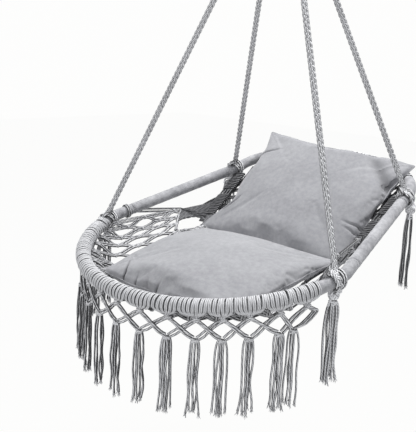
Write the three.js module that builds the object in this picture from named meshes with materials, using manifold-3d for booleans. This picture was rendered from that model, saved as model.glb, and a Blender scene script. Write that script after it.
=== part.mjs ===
// Hammock chair: a bent steel frame hung by four ropes from one ring, with knotted seat
// and back nets, a lace and tassel fringe under the front edge, and two loose cushions.
// Millimetres, +Z up. The origin is the point of the hanging ring that rests on a hook.
import * as THREE from 'three';
import { mergeVertices } from 'three/addons/utils/BufferGeometryUtils.js';
import Module from 'manifold-3d';

const wasm = await Module();
wasm.setup();
const radians = THREE.MathUtils.degToRad;
const chair = new THREE.Group();

// Steel frame, measured between tube axes
const frameWidth = 800;
const arcDepth = 325;
const sideRun = 453;
const backWidth = 604;
const bowDepth = 155;
const frameTilt = radians(15.9);
const bowTilt = radians(25);
const tubeRadius = 12.5;
const tubeWall = 1.5;
const jointStub = 50;
const spigotLength = 80;
const spigotWall = 1.5;
const fitGap = 0.3;

// Faces round tubes, ropes and knots
const tubeSides = 8;
const ropeSides = 8;
const crownSides = 16;
const crownRings = 10;
const knotSides = 10;
const knotRings = 7;

// Plush sleeves and cord hitches round the tubes
const sleeveRadius = 16;
const hitchRadius = 21;
const hitchRootRadius = 18;
const arcHitchAngle = 72;
const bowHitchAngle = 60;
const arcStepAngle = 6;
const bowStepAngle = 10;
const ribsPerArcStep = 3;
const ribsPerBowStep = 2;

// Suspension, from the hook down
const ringInnerDiameter = 50;
const ringWire = 8;
const ropeDiameter = 16;
const eyeClearance = 0.4;
const neckLength = 34;
const eyeLegLength = 34;
const wrapLength = 62;
const wrapThickness = 5;
const wrapTurns = 9;
const turningGap = 0.6;
const wrapCupDepth = 8;
const crownRadius = 38;
const crownSpread = 18;
const crownPairSpread = 1.5;
const ropeRise = 950;
const ropeFootRise = 20;
const ringSetback = 181;

// Rope hitches at the four corners, with their knots and loose tails
const frontHitchAngle = 83;
const backHitchInset = 21;
const hitchCollarRadius = 28;
const hitchCollarRoot = 24;
const hitchCollarLength = 40;
const hitchCollarTurns = 3;
const hitchSeatSteps = 4;
const tailKnotRadius = 15;
const backKnotLean = radians(38);
const tailLength = 205;
const tailSplay = 22;
const tailStrandRadius = 3.2;
const tailStrands = 7;

// Knotted nets
const netCord = 5.5;
const seatNetAngle = 80;
const seatNetColumns = 36;
const seatNetRows = 6;
const seatNetSag = 56;
const seatSagAcrossPower = 0.5;
const seatSagFrontPower = 0.35;
const creaseHalfWidth = 335;
const creaseSetback = 303;
const creaseForward = 40;
const creaseRise = 6;
const creaseSag = 110;
const backNetColumns = 16;
const backNetRows = 6;
const backNetSag = 14;
const backNetWaist = 16;
const backNetAngle = 74;

// Lace and tassels under the front edge
const laceCord = 5;
const laceRows = 2;
const laceRowHeight = 27;
const laceSideDroop = 8;
const laceLean = radians(22);
const tasselSharesLeft = [0.06, 0.182, 0.3, 0.4, 0.505, 0.61, 0.72, 0.83];
const tasselSharesRight = [0.066, 0.192, 0.31, 0.415, 0.52, 0.64, 0.7];
const laceEndShareLeft = 0.87;
const laceEndShareRight = 0.77;
const tasselKnotRadius = 9;
const tasselLength = 195;
const tasselSplay = 13;
const tasselStrandRadius = 2.7;
const tasselStrands = 5;

// Cushions
const seatCushionWidth = 490;
const seatCushionDepth = 390;
const seatCushionTop = 66;
const seatCushionBottom = 58;
const seatCushionSetback = 22;
const seatCushionDrop = 65;
const seatCushionTilt = radians(8);
const backCushionWidth = 516;
const backCushionHeight = 394;
const backCushionFront = 66;
const backCushionRear = 50;
const backCushionInset = 50;
const backCushionDrop = 38;
const backCushionTilt = radians(37.8);
const backCushionRoll = radians(3);
const cushionColumns = 12;
const cushionRows = 12;
const cushionBunchingShare = 0.8;
const sidePullShare = 0.07;
const cushionCrownPower = 0.5;
const restGap = 0.5;
const layingHeight = 200;

// Heights and offsets that follow from the sizes above
const ringWireZ = -(ringInnerDiameter + ringWire / 2);
const eyeBend = ringWire / 2 + eyeClearance + ropeDiameter / 2;
const neckRadius = eyeBend + ropeDiameter / 2;
const neckTopZ = ringWireZ - eyeLegLength;
const neckBottomZ = neckTopZ - neckLength;
const wrapBore = neckRadius + turningGap;
const wrapRadius = wrapBore + wrapThickness;
const wrapTopZ = neckTopZ - wrapThickness;
const wrapBottomZ = wrapTopZ - wrapLength;
const boreFlat = wrapBore * Math.cos(Math.PI / 16);
const crownZ = wrapBottomZ - Math.sqrt((crownRadius + fitGap) ** 2 - boreFlat ** 2);
const frontY = -ringSetback;
const frontZ = crownZ - ropeRise;
const backHalf = backWidth / 2;
const frontHalf = frameWidth / 2;
const sideTaper = (frontHalf - backHalf) / sideRun;
const frameNormal = new THREE.Vector3(0, -Math.sin(frameTilt), Math.cos(frameTilt));
const bowNormal = new THREE.Vector3(0, -Math.sin(bowTilt), Math.cos(bowTilt));

const colours = {
  cord: 0xa9aaaf,
  plush: 0xb0b1b6,
  velvet: 0xafb0b4,
  steel: 0x8d9095,
  ring: 0xc9ccd0,
};

function finish(colour, roughness, metalness) {
  return new THREE.MeshStandardMaterial({ color: colour, roughness, metalness });
}

function add(name, geometry, colour, roughness = 0.9, metalness = 0) {
  const mesh = new THREE.Mesh(geometry, finish(colour, roughness, metalness));
  mesh.name = name;
  chair.add(mesh);
  return mesh;
}

// A place given from the front corners of the frame: across, behind and above them
function fromCorners(across, behind, above) {
  return new THREE.Vector3(across, frontY + behind, frontZ + above);
}

function framePoint(u, v) {
  return fromCorners(u, v * Math.cos(frameTilt), v * Math.sin(frameTilt));
}

function bowPoint(u, w) {
  const corner = framePoint(u, sideRun);
  corner.y += w * Math.cos(bowTilt);
  corner.z += w * Math.sin(bowTilt);
  return corner;
}

// Solids from triangles, and joins and cuts between them

function geometryOf(corners) {
  const geometry = new THREE.BufferGeometry();
  const numbers = corners.flatMap((corner) => corner.toArray());
  geometry.setAttribute('position', new THREE.Float32BufferAttribute(numbers, 3));
  const merged = mergeVertices(geometry);
  merged.computeVertexNormals();
  return merged;
}

function toSolid(geometry) {
  const bare = new THREE.BufferGeometry();
  const source = geometry.index ? geometry.toNonIndexed() : geometry;
  bare.setAttribute('position', source.getAttribute('position'));
  const merged = mergeVertices(bare);
  const vertProperties = new Float32Array(merged.getAttribute('position').array);
  const triVerts = new Uint32Array(merged.index.array);
  return new wasm.Manifold(new wasm.Mesh({ numProp: 3, vertProperties, triVerts }));
}

function fromSolid(solid) {
  const mesh = solid.getMesh();
  const corners = [];
  for (const index of mesh.triVerts) {
    const at = index * mesh.numProp;
    const [x, y, z] = mesh.vertProperties.slice(at, at + 3);
    corners.push(new THREE.Vector3(x, y, z));
  }
  return geometryOf(corners);
}

// Stations along a path: a point, the direction of travel, and two square axes

function stationsAlong(points, normals) {
  return points.map((point, i) => {
    const before = points[Math.max(i - 1, 0)];
    const after = points[Math.min(i + 1, points.length - 1)];
    const along = after.clone().sub(before).normalize();
    const inward = normals[i].clone().cross(along).normalize();
    const up = along.clone().cross(inward);
    return { point, along, inward, up };
  });
}

function straightStations(start, end, normal) {
  return stationsAlong([start, end], [normal, normal]);
}

// A station part of the way between two stations
function between(a, b, share) {
  const mix = (p, q) => p.clone().lerp(q, share);
  const along = mix(a.along, b.along).normalize();
  const inward = mix(a.up, b.up).cross(along).normalize();
  return { point: mix(a.point, b.point), along, inward, up: along.clone().cross(inward) };
}

function ringAt(station, radius, sides) {
  return Array.from({ length: sides }, (_, k) => {
    const angle = (k / sides) * 2 * Math.PI;
    return station.point
      .clone()
      .addScaledVector(station.inward, radius * Math.cos(angle))
      .addScaledVector(station.up, radius * Math.sin(angle));
  });
}

function skin(rings, inside = false) {
  const corners = [];
  for (let i = 0; i + 1 < rings.length; i += 1) {
    const sides = rings[i].length;
    for (let k = 0; k < sides; k += 1) {
      const next = (k + 1) % sides;
      const [a, b, c, d] = [rings[i][k], rings[i][next], rings[i + 1][next], rings[i + 1][k]];
      corners.push(...(inside ? [a, c, b, a, d, c] : [a, b, c, a, c, d]));
    }
  }
  return corners;
}

function capOf(ring, facingBack) {
  const centre = new THREE.Vector3();
  ring.forEach((point) => centre.addScaledVector(point, 1 / ring.length));
  return ring.flatMap((point, k) => {
    const next = ring[(k + 1) % ring.length];
    return facingBack ? [centre, next, point] : [centre, point, next];
  });
}

function rimOf(outer, inner, facingBack) {
  return outer.flatMap((point, k) => {
    const next = (k + 1) % outer.length;
    return facingBack
      ? [point, inner[k], outer[next], inner[k], inner[next], outer[next]]
      : [point, outer[next], inner[k], inner[k], outer[next], inner[next]];
  });
}

function rod(rings) {
  return geometryOf([
    ...skin(rings),
    ...capOf(rings[0], true),
    ...capOf(rings[rings.length - 1], false),
  ]);
}

function pipe(outer, inner) {
  return geometryOf([
    ...skin(outer),
    ...skin(inner, true),
    ...rimOf(outer[0], inner[0], true),
    ...rimOf(outer[outer.length - 1], inner[inner.length - 1], false),
  ]);
}

const tubeOf = (stations, outerRadius, innerRadius) =>
  pipe(
    stations.map((station) => ringAt(station, outerRadius, tubeSides)),
    stations.map((station) => ringAt(station, innerRadius, tubeSides)),
  );

// Cord hitches packed side by side: each is a rib, on a bore that follows the tube
function ribbedCover(stations, ribsPerStep, crest, root, bore) {
  const outer = [];
  for (let i = 0; i + 1 < stations.length; i += 1) {
    for (let rib = 0; rib < ribsPerStep; rib += 1) {
      const at = (share) => between(stations[i], stations[i + 1], (rib + share) / ribsPerStep);
      outer.push(ringAt(rib ? at(0) : stations[i], root, tubeSides));
      outer.push(ringAt(at(0.5), crest, tubeSides));
    }
  }
  outer.push(ringAt(stations[stations.length - 1], root, tubeSides));
  return pipe(outer, stations.map((station) => ringAt(station, bore, tubeSides)));
}

// Frame: front arc, two side tubes and the back bow, plugged together on four spigots

const arcPoint = (angle) =>
  framePoint(frontHalf * Math.sin(radians(angle)), -arcDepth * Math.cos(radians(angle)));
const sidePoint = (side, v) => framePoint(side * (frontHalf - sideTaper * v), v);
const bowCurvePoint = (angle) =>
  bowPoint(backHalf * Math.sin(radians(angle)), bowDepth * Math.cos(radians(angle)));

function arcStations() {
  const points = [sidePoint(-1, jointStub)];
  for (let angle = -90; angle <= 90; angle += arcStepAngle) points.push(arcPoint(angle));
  points.push(sidePoint(1, jointStub));
  return stationsAlong(points, points.map(() => frameNormal));
}

function bowStations() {
  const points = [sidePoint(1, sideRun - jointStub)];
  const normals = [frameNormal];
  for (let angle = 90; angle >= -90; angle -= bowStepAngle) {
    points.push(bowCurvePoint(angle));
    const atCorner = Math.abs(angle) > 90 - bowStepAngle / 2;
    normals.push(atCorner ? frameNormal.clone().lerp(bowNormal, 0.5) : bowNormal);
  }
  points.push(sidePoint(-1, sideRun - jointStub));
  normals.push(frameNormal);
  return stationsAlong(points, normals);
}

const arc = arcStations();
const bow = bowStations();
const arcAt = (angle) => arc[1 + Math.round((angle + 90) / arcStepAngle)];
const arcIndex = (angle) => arc.indexOf(arcAt(angle));
const bowIndex = (angle) => 1 + Math.round((90 - angle) / bowStepAngle);
const coverBore = tubeRadius + fitGap;

function sideStations(side) {
  const [start, end] = [jointStub + fitGap, sideRun - jointStub - fitGap];
  return straightStations(sidePoint(side, start), sidePoint(side, end), frameNormal);
}

function addFrame() {
  const steel = [colours.steel, 0.5, 0.6];
  const innerRadius = tubeRadius - tubeWall;
  add('front_arc_tube', tubeOf(arc, tubeRadius, innerRadius), ...steel);
  add('back_bow_tube', tubeOf(bow, tubeRadius, innerRadius), ...steel);
  for (const [side, hand] of [[-1, 'left'], [1, 'right']]) {
    add(`side_tube_${hand}`, tubeOf(sideStations(side), tubeRadius, innerRadius), ...steel);
    for (const [joint, place] of [[jointStub, 'front'], [sideRun - jointStub, 'back']]) {
      const half = spigotLength / 2;
      const ends = [sidePoint(side, joint - half), sidePoint(side, joint + half)];
      const spigotRadius = innerRadius - fitGap;
      const spigot = tubeOf(
        straightStations(...ends, frameNormal),
        spigotRadius,
        spigotRadius - spigotWall,
      );
      add(`corner_spigot_${place}_${hand}`, spigot, ...steel);
    }
  }
}

function addCovers() {
  const hitched = arc.slice(arcIndex(-arcHitchAngle), arcIndex(arcHitchAngle) + 1);
  const cover = ribbedCover(hitched, ribsPerArcStep, hitchRadius, hitchRootRadius, coverBore);
  add('front_hitch_wrap', cover, colours.cord);
  const bowFrom = bowIndex(bowHitchAngle);
  const bowTo = bowIndex(-bowHitchAngle);
  const bowHitched = bow.slice(bowFrom, bowTo + 1);
  const bowCover = ribbedCover(bowHitched, ribsPerBowStep, hitchRadius, hitchRootRadius, coverBore);
  add('back_hitch_wrap', bowCover, colours.cord);
  const sleeve = (name, stations) =>
    add(name, tubeOf(stations, sleeveRadius, coverBore), colours.plush);
  sleeve('arc_sleeve_left', trimmed(arc.slice(0, arcIndex(-arcHitchAngle) + 1)));
  sleeve('arc_sleeve_right', trimmed(arc.slice(arcIndex(arcHitchAngle))));
  sleeve('back_sleeve_right', trimmed(bow.slice(0, bowFrom + 1)));
  sleeve('back_sleeve_left', trimmed(bow.slice(bowTo)));
  sleeve('side_sleeve_left', sideStations(-1));
  sleeve('side_sleeve_right', sideStations(1));
}

// Both ends of a cover drawn back by the gap, so that it meets its neighbour face to face
function trimmed(stations) {
  const inwards = (end, next) => {
    const step = next.point.clone().sub(end.point).setLength(fitGap);
    return { ...end, point: end.point.clone().add(step) };
  };
  const [last, beforeLast] = [stations.at(-1), stations.at(-2)];
  return [inwards(stations[0], stations[1]), ...stations.slice(1, -1), inwards(last, beforeLast)];
}

// Suspension: ring, rope eye, gathering wrap, crown knot and four ropes

function addRing() {
  const ring = new THREE.TorusGeometry((ringInnerDiameter + ringWire) / 2, ringWire / 2, 8, 28);
  ring.rotateX(Math.PI / 2);
  ring.translate(0, 0, -ringInnerDiameter / 2);
  add('hanging_ring', ring, colours.ring, 0.25, 1);
}

function addEye() {
  const bendSteps = 8;
  const points = [];
  for (let i = 0; i <= bendSteps; i += 1) {
    const angle = (i / bendSteps) * Math.PI;
    points.push(new THREE.Vector3(0, eyeBend * Math.cos(angle), ringWireZ + eyeBend * Math.sin(angle)));
  }
  const legZ = neckTopZ - ropeDiameter / 2;
  points.unshift(new THREE.Vector3(0, eyeBend, legZ));
  points.push(new THREE.Vector3(0, -eyeBend, legZ));
  const stations = stationsAlong(points, points.map(() => new THREE.Vector3(1, 0, 0)));
  const loop = toSolid(rod(stations.map((station) => ringAt(station, ropeDiameter / 2, ropeSides))));
  const neck = new THREE.CylinderGeometry(neckRadius, neckRadius, neckLength, 24);
  neck.rotateX(Math.PI / 2);
  neck.translate(0, 0, neckTopZ - neckLength / 2);
  add('rope_eye', fromSolid(loop.add(toSolid(neck))), colours.cord);
}

// The wrap is open at both ends: the eye's neck turns in the upper bore, and the crown
// knot rocks in the lower one
function addWrap() {
  const webTop = neckBottomZ - fitGap;
  const cupTop = wrapBottomZ + wrapCupDepth;
  const profile = [new THREE.Vector2(0, cupTop), new THREE.Vector2(wrapBore, cupTop)];
  profile.push(new THREE.Vector2(wrapBore, wrapBottomZ));
  const pitch = wrapLength / wrapTurns;
  for (let turn = 0; turn < wrapTurns; turn += 1) {
    const z = wrapBottomZ + turn * pitch;
    profile.push(new THREE.Vector2(wrapRadius - wrapThickness / 2, z));
    profile.push(new THREE.Vector2(wrapRadius, z + pitch / 2));
  }
  profile.push(new THREE.Vector2(wrapRadius - wrapThickness / 2, wrapTopZ));
  profile.push(new THREE.Vector2(wrapBore, wrapTopZ));
  profile.push(new THREE.Vector2(wrapBore, webTop));
  profile.push(new THREE.Vector2(0, webTop));
  const wrap = new THREE.LatheGeometry(profile, 16);
  wrap.rotateX(Math.PI / 2);
  add('gathering_wrap', wrap, colours.cord);
}

const crownCentre = new THREE.Vector3(0, 0, crownZ);

function ballAt(centre, radius, around, down) {
  const ball = new THREE.SphereGeometry(radius, around, down);
  ball.rotateX(Math.PI / 2);
  ball.translate(...centre.toArray());
  return ball;
}

// The stations under a rope hitch: where the rope goes round the frame
function hitchSeat(front, side) {
  const half = hitchCollarLength / 2;
  const centre = front ? arcPoint(side * frontHitchAngle) : sidePoint(side, sideRun - backHitchInset);
  const nearby = front
    ? arcPoint(side * (frontHitchAngle - arcStepAngle))
    : sidePoint(side, sideRun - jointStub);
  const along = centre.clone().sub(nearby).normalize();
  const ends = [-half, half].map((way) => centre.clone().addScaledVector(along, way));
  const tube = front ? arc : bow;
  const atEnd = front === side > 0;
  const sleeved = atEnd ? tube.slice(-hitchSeatSteps) : tube.slice(0, hitchSeatSteps);
  return { centre, stations: straightStations(...ends, frameNormal), sleeved };
}

function collarRings(stations, grow) {
  const [start, end] = stations;
  const rings = [];
  for (let turn = 0; turn < hitchCollarTurns; turn += 1) {
    const at = (share) => between(start, end, (turn + share) / hitchCollarTurns);
    rings.push(ringAt(at(0), hitchCollarRoot + grow, tubeSides));
    rings.push(ringAt(at(0.3), hitchCollarRadius + grow, tubeSides));
    rings.push(ringAt(at(0.7), hitchCollarRadius + grow, tubeSides));
  }
  rings.push(ringAt(end, hitchCollarRoot + grow, tubeSides));
  return rings;
}

// A tassel: cords side by side, fused in the knot at the top and spread at the foot
function tasselSolid({ knotRadius, strands, strandRadius, length, splay }) {
  let solid = toSolid(ballAt(new THREE.Vector3(0, 0, -knotRadius), knotRadius, 6, 4));
  const topZ = -knotRadius;
  for (let i = 0; i < strands; i += 1) {
    const angle = (i / strands) * 2 * Math.PI;
    const out = (radius, z) =>
      new THREE.Vector3(radius * Math.cos(angle), radius * Math.sin(angle), z);
    const pitchCircle = (strandRadius + fitGap) / Math.sin(Math.PI / strands);
    const points = [
      out(pitchCircle - strandRadius, topZ),
      out(splay, -length - knotRadius * (i % 2)),
    ];
    const normals = points.map(() => out(1, 0));
    const rings = stationsAlong(points, normals).map((station, k) =>
      ringAt(station, k ? strandRadius : strandRadius * 0.7, 4));
    solid = solid.add(toSolid(rod(rings)));
  }
  return fromSolid(solid);
}

function addRopes() {
  const tail = tasselSolid({
    knotRadius: tailKnotRadius * 0.7,
    strands: tailStrands,
    strandRadius: tailStrandRadius,
    length: tailLength,
    splay: tailSplay,
  });
  const grownCrown = toSolid(ballAt(crownCentre, crownRadius + fitGap, crownSides, crownRings));
  for (const [front, place] of [[true, 'front'], [false, 'back']]) {
    for (const [side, hand] of [[-1, 'left'], [1, 'right']]) {
      const { centre, stations, sleeved } = hitchSeat(front, side);
      const knotLean = front ? 0 : backKnotLean;
      const knotReach = hitchCollarRadius + tailKnotRadius / 3;
      const knotCentre = centre.clone();
      knotCentre.x += side * knotReach * Math.sin(knotLean);
      knotCentre.z -= knotReach * Math.cos(knotLean);
      const knot = toSolid(ballAt(knotCentre, tailKnotRadius, knotSides, knotRings));
      const bore = rod(sleeved.map((station) => ringAt(station, sleeveRadius + fitGap, tubeSides)));
      const hitch = toSolid(rod(collarRings(stations, 0))).add(knot).subtract(toSolid(bore));
      add(`rope_hitch_${place}_${hand}`, fromSolid(hitch), colours.cord);

      const top = crownCentre.clone();
      top.x += side * crownSpread;
      top.y += (front ? -1 : 1) * crownPairSpread;
      const foot = centre.clone();
      foot.z += ropeFootRise;
      const ropeStations = straightStations(foot, top, new THREE.Vector3(0, 1, 0));
      const whole = toSolid(rod(ropeStations.map((s) => ringAt(s, ropeDiameter / 2, ropeSides))));
      const grownHitch = toSolid(rod(collarRings(stations, fitGap)));
      const rope = whole.subtract(grownCrown).subtract(grownHitch);
      add(`suspension_rope_${place}_${hand}`, fromSolid(rope), colours.cord);

      const tailMesh = add(`rope_tail_${place}_${hand}`, tail.clone(), colours.cord);
      tailMesh.position.copy(knotCentre);
      tailMesh.position.z -= tailKnotRadius + fitGap;
    }
  }
  add('crown_knot', ballAt(crownCentre, crownRadius, crownSides, crownRings), colours.cord);
}

// A net as one solid: cords of a four-sided section along the edges of the faces given,
// each face a gap, with a rim along the outside

function netSolid(faces, place, cord) {
  const spots = new Map();
  const spotOf = ([c, r]) => {
    const key = `${c},${r}`;
    if (!spots.has(key)) spots.set(key, { key, ...place(c, r) });
    return spots.get(key);
  };
  const loops = faces.map((face) => face.map(spotOf));
  const leftOffset = (before, here, after, distance, limit) => {
    const leftOf = (from, to) => here.normal.clone().cross(to.point.clone().sub(from.point)).normalize();
    const first = leftOf(before, here);
    const middle = first.clone().add(leftOf(here, after)).normalize();
    const reach = distance / Math.max(middle.dot(first), limit);
    return here.point.clone().addScaledVector(middle, reach);
  };
  const raised = (spot, way) => spot.point.clone().addScaledVector(spot.normal, (way * cord) / 2);
  const corners = [];
  const quadPair = (a, b, farB, farA) => {
    const [topA, topB] = [raised(a, 1), raised(b, 1)];
    const [lowA, lowB] = [raised(a, -1), raised(b, -1)];
    corners.push(topA, topB, farB, topA, farB, farA);
    corners.push(lowA, farB, lowB, lowA, farA, farB);
  };
  const oneWay = new Map();
  for (const loop of loops) {
    const size = loop.length;
    const inset = loop.map((spot, i) =>
      leftOffset(loop[(i + size - 1) % size], spot, loop[(i + 1) % size], cord / 2, 0.2));
    loop.forEach((spot, i) => {
      const next = loop[(i + 1) % size];
      quadPair(spot, next, inset[(i + 1) % size], inset[i]);
      const back = `${next.key}>${spot.key}`;
      if (!oneWay.delete(back)) oneWay.set(`${spot.key}>${next.key}`, [spot, next]);
    });
  }
  const edges = [...oneWay.values()];
  const following = new Map(edges.map(([from, to]) => [from.key, to]));
  const preceding = new Map(edges.map(([from, to]) => [to.key, from]));
  const outsideOf = (spot) =>
    leftOffset(preceding.get(spot.key), spot, following.get(spot.key), -cord / 2, 0.6);
  for (const [from, to] of edges) quadPair(to, from, outsideOf(from), outsideOf(to));
  return geometryOf(corners);
}

// The diamonds of a net of so many columns and rows, closed at the foot or left ragged
function diamondFaces(columns, rows, openEnd) {
  const faces = [];
  for (let r = 0; r <= rows; r += 1) {
    for (let c = 0; c <= columns; c += 1) {
      const isGap = (c + r) % 2 === 1;
      if (!isGap || (openEnd && r === rows)) continue;
      const low = [c, Math.max(r - 1, 0)];
      const high = [c, Math.min(r + 1, rows)];
      const left = [Math.max(c - 1, 0), r];
      const right = [Math.min(c + 1, columns), r];
      faces.push([low, right, high, left]);
    }
  }
  return faces;
}

// The surface that a net lies on, and its normal from two small steps along it
function surfaceSpot(surface, s, r) {
  const step = 0.01;
  const point = surface(s, r);
  const across = surface(s + step, r).sub(surface(s - step, r));
  const along = surface(s, Math.min(r + step, 1)).sub(surface(s, Math.max(r - step, 0)));
  return { point, normal: across.cross(along).normalize() };
}

const overshoot = (s) => Math.max(1 - s * s, 0);

// Just inside and under the hitches of the front arc, or inside the rope hitches at its ends
function arcNetEdge(s) {
  const angle = s * seatNetAngle;
  const past = Math.max((Math.abs(angle) - arcHitchAngle) / (seatNetAngle - arcHitchAngle), 0);
  const reach = THREE.MathUtils.lerp(hitchRadius, hitchCollarRadius, past) + fitGap + netCord / 2;
  const down = (Math.PI / 4) * (1 - past);
  const slope = new THREE.Vector3(
    frontHalf * Math.cos(radians(angle)),
    arcDepth * Math.sin(radians(angle)) * Math.cos(frameTilt),
    arcDepth * Math.sin(radians(angle)) * Math.sin(frameTilt),
  ).normalize();
  const inward = frameNormal.clone().cross(slope);
  return arcPoint(angle)
    .addScaledVector(inward, reach * Math.cos(down))
    .addScaledVector(frameNormal, -reach * Math.sin(down));
}

function crease(s) {
  const dip = overshoot(s);
  return fromCorners(
    s * creaseHalfWidth,
    creaseSetback - creaseForward * dip,
    creaseRise - creaseSag * dip * dip,
  );
}

const creaseLacing = netCord / 2 + fitGap;

function seatSurface(s, r) {
  const rear = crease(s);
  rear.y -= creaseLacing;
  const sag = seatNetSag * overshoot(s) ** seatSagAcrossPower * 2 * r ** seatSagFrontPower * (1 - r);
  const point = arcNetEdge(s).lerp(rear, r);
  point.z -= sag;
  return point;
}

function bowNetEdge(s) {
  const angle = s * backNetAngle;
  const reach = hitchRadius + fitGap + netCord / 2;
  const [sine, cosine] = [Math.sin(radians(angle)), Math.cos(radians(angle))];
  const slope = new THREE.Vector3(
    backHalf * cosine,
    -bowDepth * sine * Math.cos(bowTilt),
    -bowDepth * sine * Math.sin(bowTilt),
  ).normalize();
  const inward = slope.cross(bowNormal);
  return bowCurvePoint(angle)
    .addScaledVector(inward, reach * Math.SQRT1_2)
    .addScaledVector(bowNormal, -reach * Math.SQRT1_2);
}

function backSurface(s, r) {
  const low = crease(s);
  low.y += creaseLacing;
  const point = low.lerp(bowNetEdge(s), r);
  const bulge = 4 * r * (1 - r);
  const sag = backNetSag * overshoot(s) * bulge;
  point.x -= backNetWaist * s * bulge;
  point.y += sag * Math.SQRT1_2;
  point.z -= sag * Math.SQRT1_2;
  return point;
}

function addNets() {
  const seatPlace = (c, r) =>
    surfaceSpot(seatSurface, (2 * c) / seatNetColumns - 1, r / seatNetRows);
  const seatFaces = diamondFaces(seatNetColumns, seatNetRows, false);
  add('seat_net', netSolid(seatFaces, seatPlace, netCord), colours.cord);
  const backPlace = (c, r) =>
    surfaceSpot(backSurface, (2 * c) / backNetColumns - 1, r / backNetRows);
  const backFaces = diamondFaces(backNetColumns, backNetRows, false);
  add('back_net', netSolid(backFaces, backPlace, netCord), colours.cord);
}

// How far a piece can go one way before it touches the others: rays from the points of
// each against the faces of the other
function roomToMove(piece, others, way) {
  chair.updateMatrixWorld(true);
  const caster = new THREE.Raycaster();
  const nearest = (from, targets, direction) => {
    const position = from.geometry.getAttribute('position');
    let distance = Infinity;
    for (let i = 0; i < position.count; i += 1) {
      const start = new THREE.Vector3().fromBufferAttribute(position, i).applyMatrix4(from.matrixWorld);
      caster.set(start, direction);
      const hits = caster.intersectObjects(targets, false);
      if (hits.length) distance = Math.min(distance, hits[0].distance);
    }
    return distance;
  };
  const back = way.clone().negate();
  return Math.min(nearest(piece, others, way), ...others.map((other) => nearest(other, [piece], back)));
}

// Moves a piece one way until it all but touches the pieces that carry it
function seatAgainst(piece, carriers, way, gap) {
  const room = roomToMove(piece, carriers.map((name) => chair.getObjectByName(name)), way);
  piece.position.addScaledVector(way, room - gap);
}

// Lace: a row of whole diamonds over the tassels and half ones between, hung from the hitches

const tasselAngles = [
  ...tasselSharesLeft.map((share) => -90 * share).reverse(),
  ...tasselSharesRight.map((share) => 90 * share),
];

function laceColumnAngles() {
  const angles = [-90 * laceEndShareLeft];
  tasselAngles.forEach((angle, i) => {
    if (i) angles.push((tasselAngles[i - 1] + angle) / 2);
    angles.push(angle);
  });
  return [...angles, 90 * laceEndShareRight];
}

// Rows count downwards from the hitches; the lace droops deeper round the left side
function lacePoint(angle, rows) {
  const slope = arcPoint(angle + 1).sub(arcPoint(angle - 1)).normalize();
  const outward = slope.cross(frameNormal);
  const reach = hitchRadius + fitGap + laceCord / 2;
  const droop = laceSideDroop * Math.max(-angle / 90, 0);
  const point = arcPoint(angle)
    .addScaledVector(outward, reach * Math.sin(laceLean))
    .addScaledVector(frameNormal, -reach * Math.cos(laceLean));
  point.z -= rows * (laceRowHeight + droop);
  return point;
}

function addFringe() {
  const angles = laceColumnAngles();
  const faces = [];
  for (let c = 1; c < angles.length - 1; c += 1) {
    const overTassel = c % 2 === 1;
    if (overTassel) faces.push([[c - 1, 1], [c, laceRows], [c + 1, 1], [c, 0]]);
    else faces.push([[c - 1, 0], [c, 1], [c + 1, 0], [c, 0]]);
  }
  const place = (c, r) => {
    const step = 1;
    const along = arcPoint(angles[c] + step).sub(arcPoint(angles[c] - step));
    const outward = along.cross(new THREE.Vector3(0, 0, 1)).setZ(0).normalize();
    return { point: lacePoint(angles[c], r), normal: outward };
  };
  const upwards = new THREE.Vector3(0, 0, 1);
  const lace = add('front_lace', netSolid(faces, place, laceCord), colours.cord);
  seatAgainst(lace, ['front_hitch_wrap'], upwards, fitGap);
  const tassel = tasselSolid({
    knotRadius: tasselKnotRadius,
    strands: tasselStrands,
    strandRadius: tasselStrandRadius,
    length: tasselLength,
    splay: tasselSplay,
  });
  tasselAngles.forEach((angle, i) => {
    const number = String(i + 1).padStart(2, '0');
    const mesh = add(`tassel_${number}`, tassel.clone(), colours.cord);
    mesh.position.copy(lacePoint(angle, laceRows));
    mesh.position.z -= laceCord;
    mesh.rotation.z = radians(angle);
    seatAgainst(mesh, ['front_lace'], upwards, fitGap);
  });
}

// A stuffed cushion: a crowned face and back meeting in a seam, with drawn-in sides

function cushionSolid({ width, depth, top, bottom }) {
  const reach = (Math.PI / 2) * cushionBunchingShare;
  const bunched = (share) => Math.sin(reach * share) / Math.sin(reach);
  const places = (count) => Array.from({ length: count + 1 }, (_, k) => bunched((2 * k) / count - 1));
  const [across, along] = [places(cushionColumns), places(cushionRows)];
  const spot = (x, y, height) => {
    const fullness = Math.max((1 - x * x) * (1 - y * y), 0) ** cushionCrownPower;
    return new THREE.Vector3(
      (width / 2) * x * (1 - sidePullShare * (1 - y * y)),
      (depth / 2) * y * (1 - sidePullShare * (1 - x * x)),
      height * fullness,
    );
  };
  const corners = [];
  for (const height of [top, -bottom]) {
    for (let i = 0; i < cushionColumns; i += 1) {
      for (let j = 0; j < cushionRows; j += 1) {
        const a = spot(across[i], along[j], height);
        const b = spot(across[i + 1], along[j], height);
        const c = spot(across[i + 1], along[j + 1], height);
        const d = spot(across[i], along[j + 1], height);
        const towardsCorner = i < cushionColumns / 2 === j < cushionRows / 2;
        const faces = towardsCorner ? [a, b, d, b, c, d] : [a, b, c, a, c, d];
        corners.push(...(height > 0 ? faces : faces.reverse()));
      }
    }
  }
  return geometryOf(corners);
}

// A cushion is laid from above its measured place, down along its own normal, until it
// rests on what is under it
function layCushion(name, shape, place, tilt, roll, supports) {
  const cushion = add(name, cushionSolid(shape), colours.velvet, 0.95);
  cushion.rotation.set(tilt, roll, 0);
  const down = new THREE.Vector3(0, 0, -1).applyEuler(cushion.rotation);
  cushion.position.copy(place).addScaledVector(down, -layingHeight);
  seatAgainst(cushion, supports, down, restGap);
}

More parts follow.
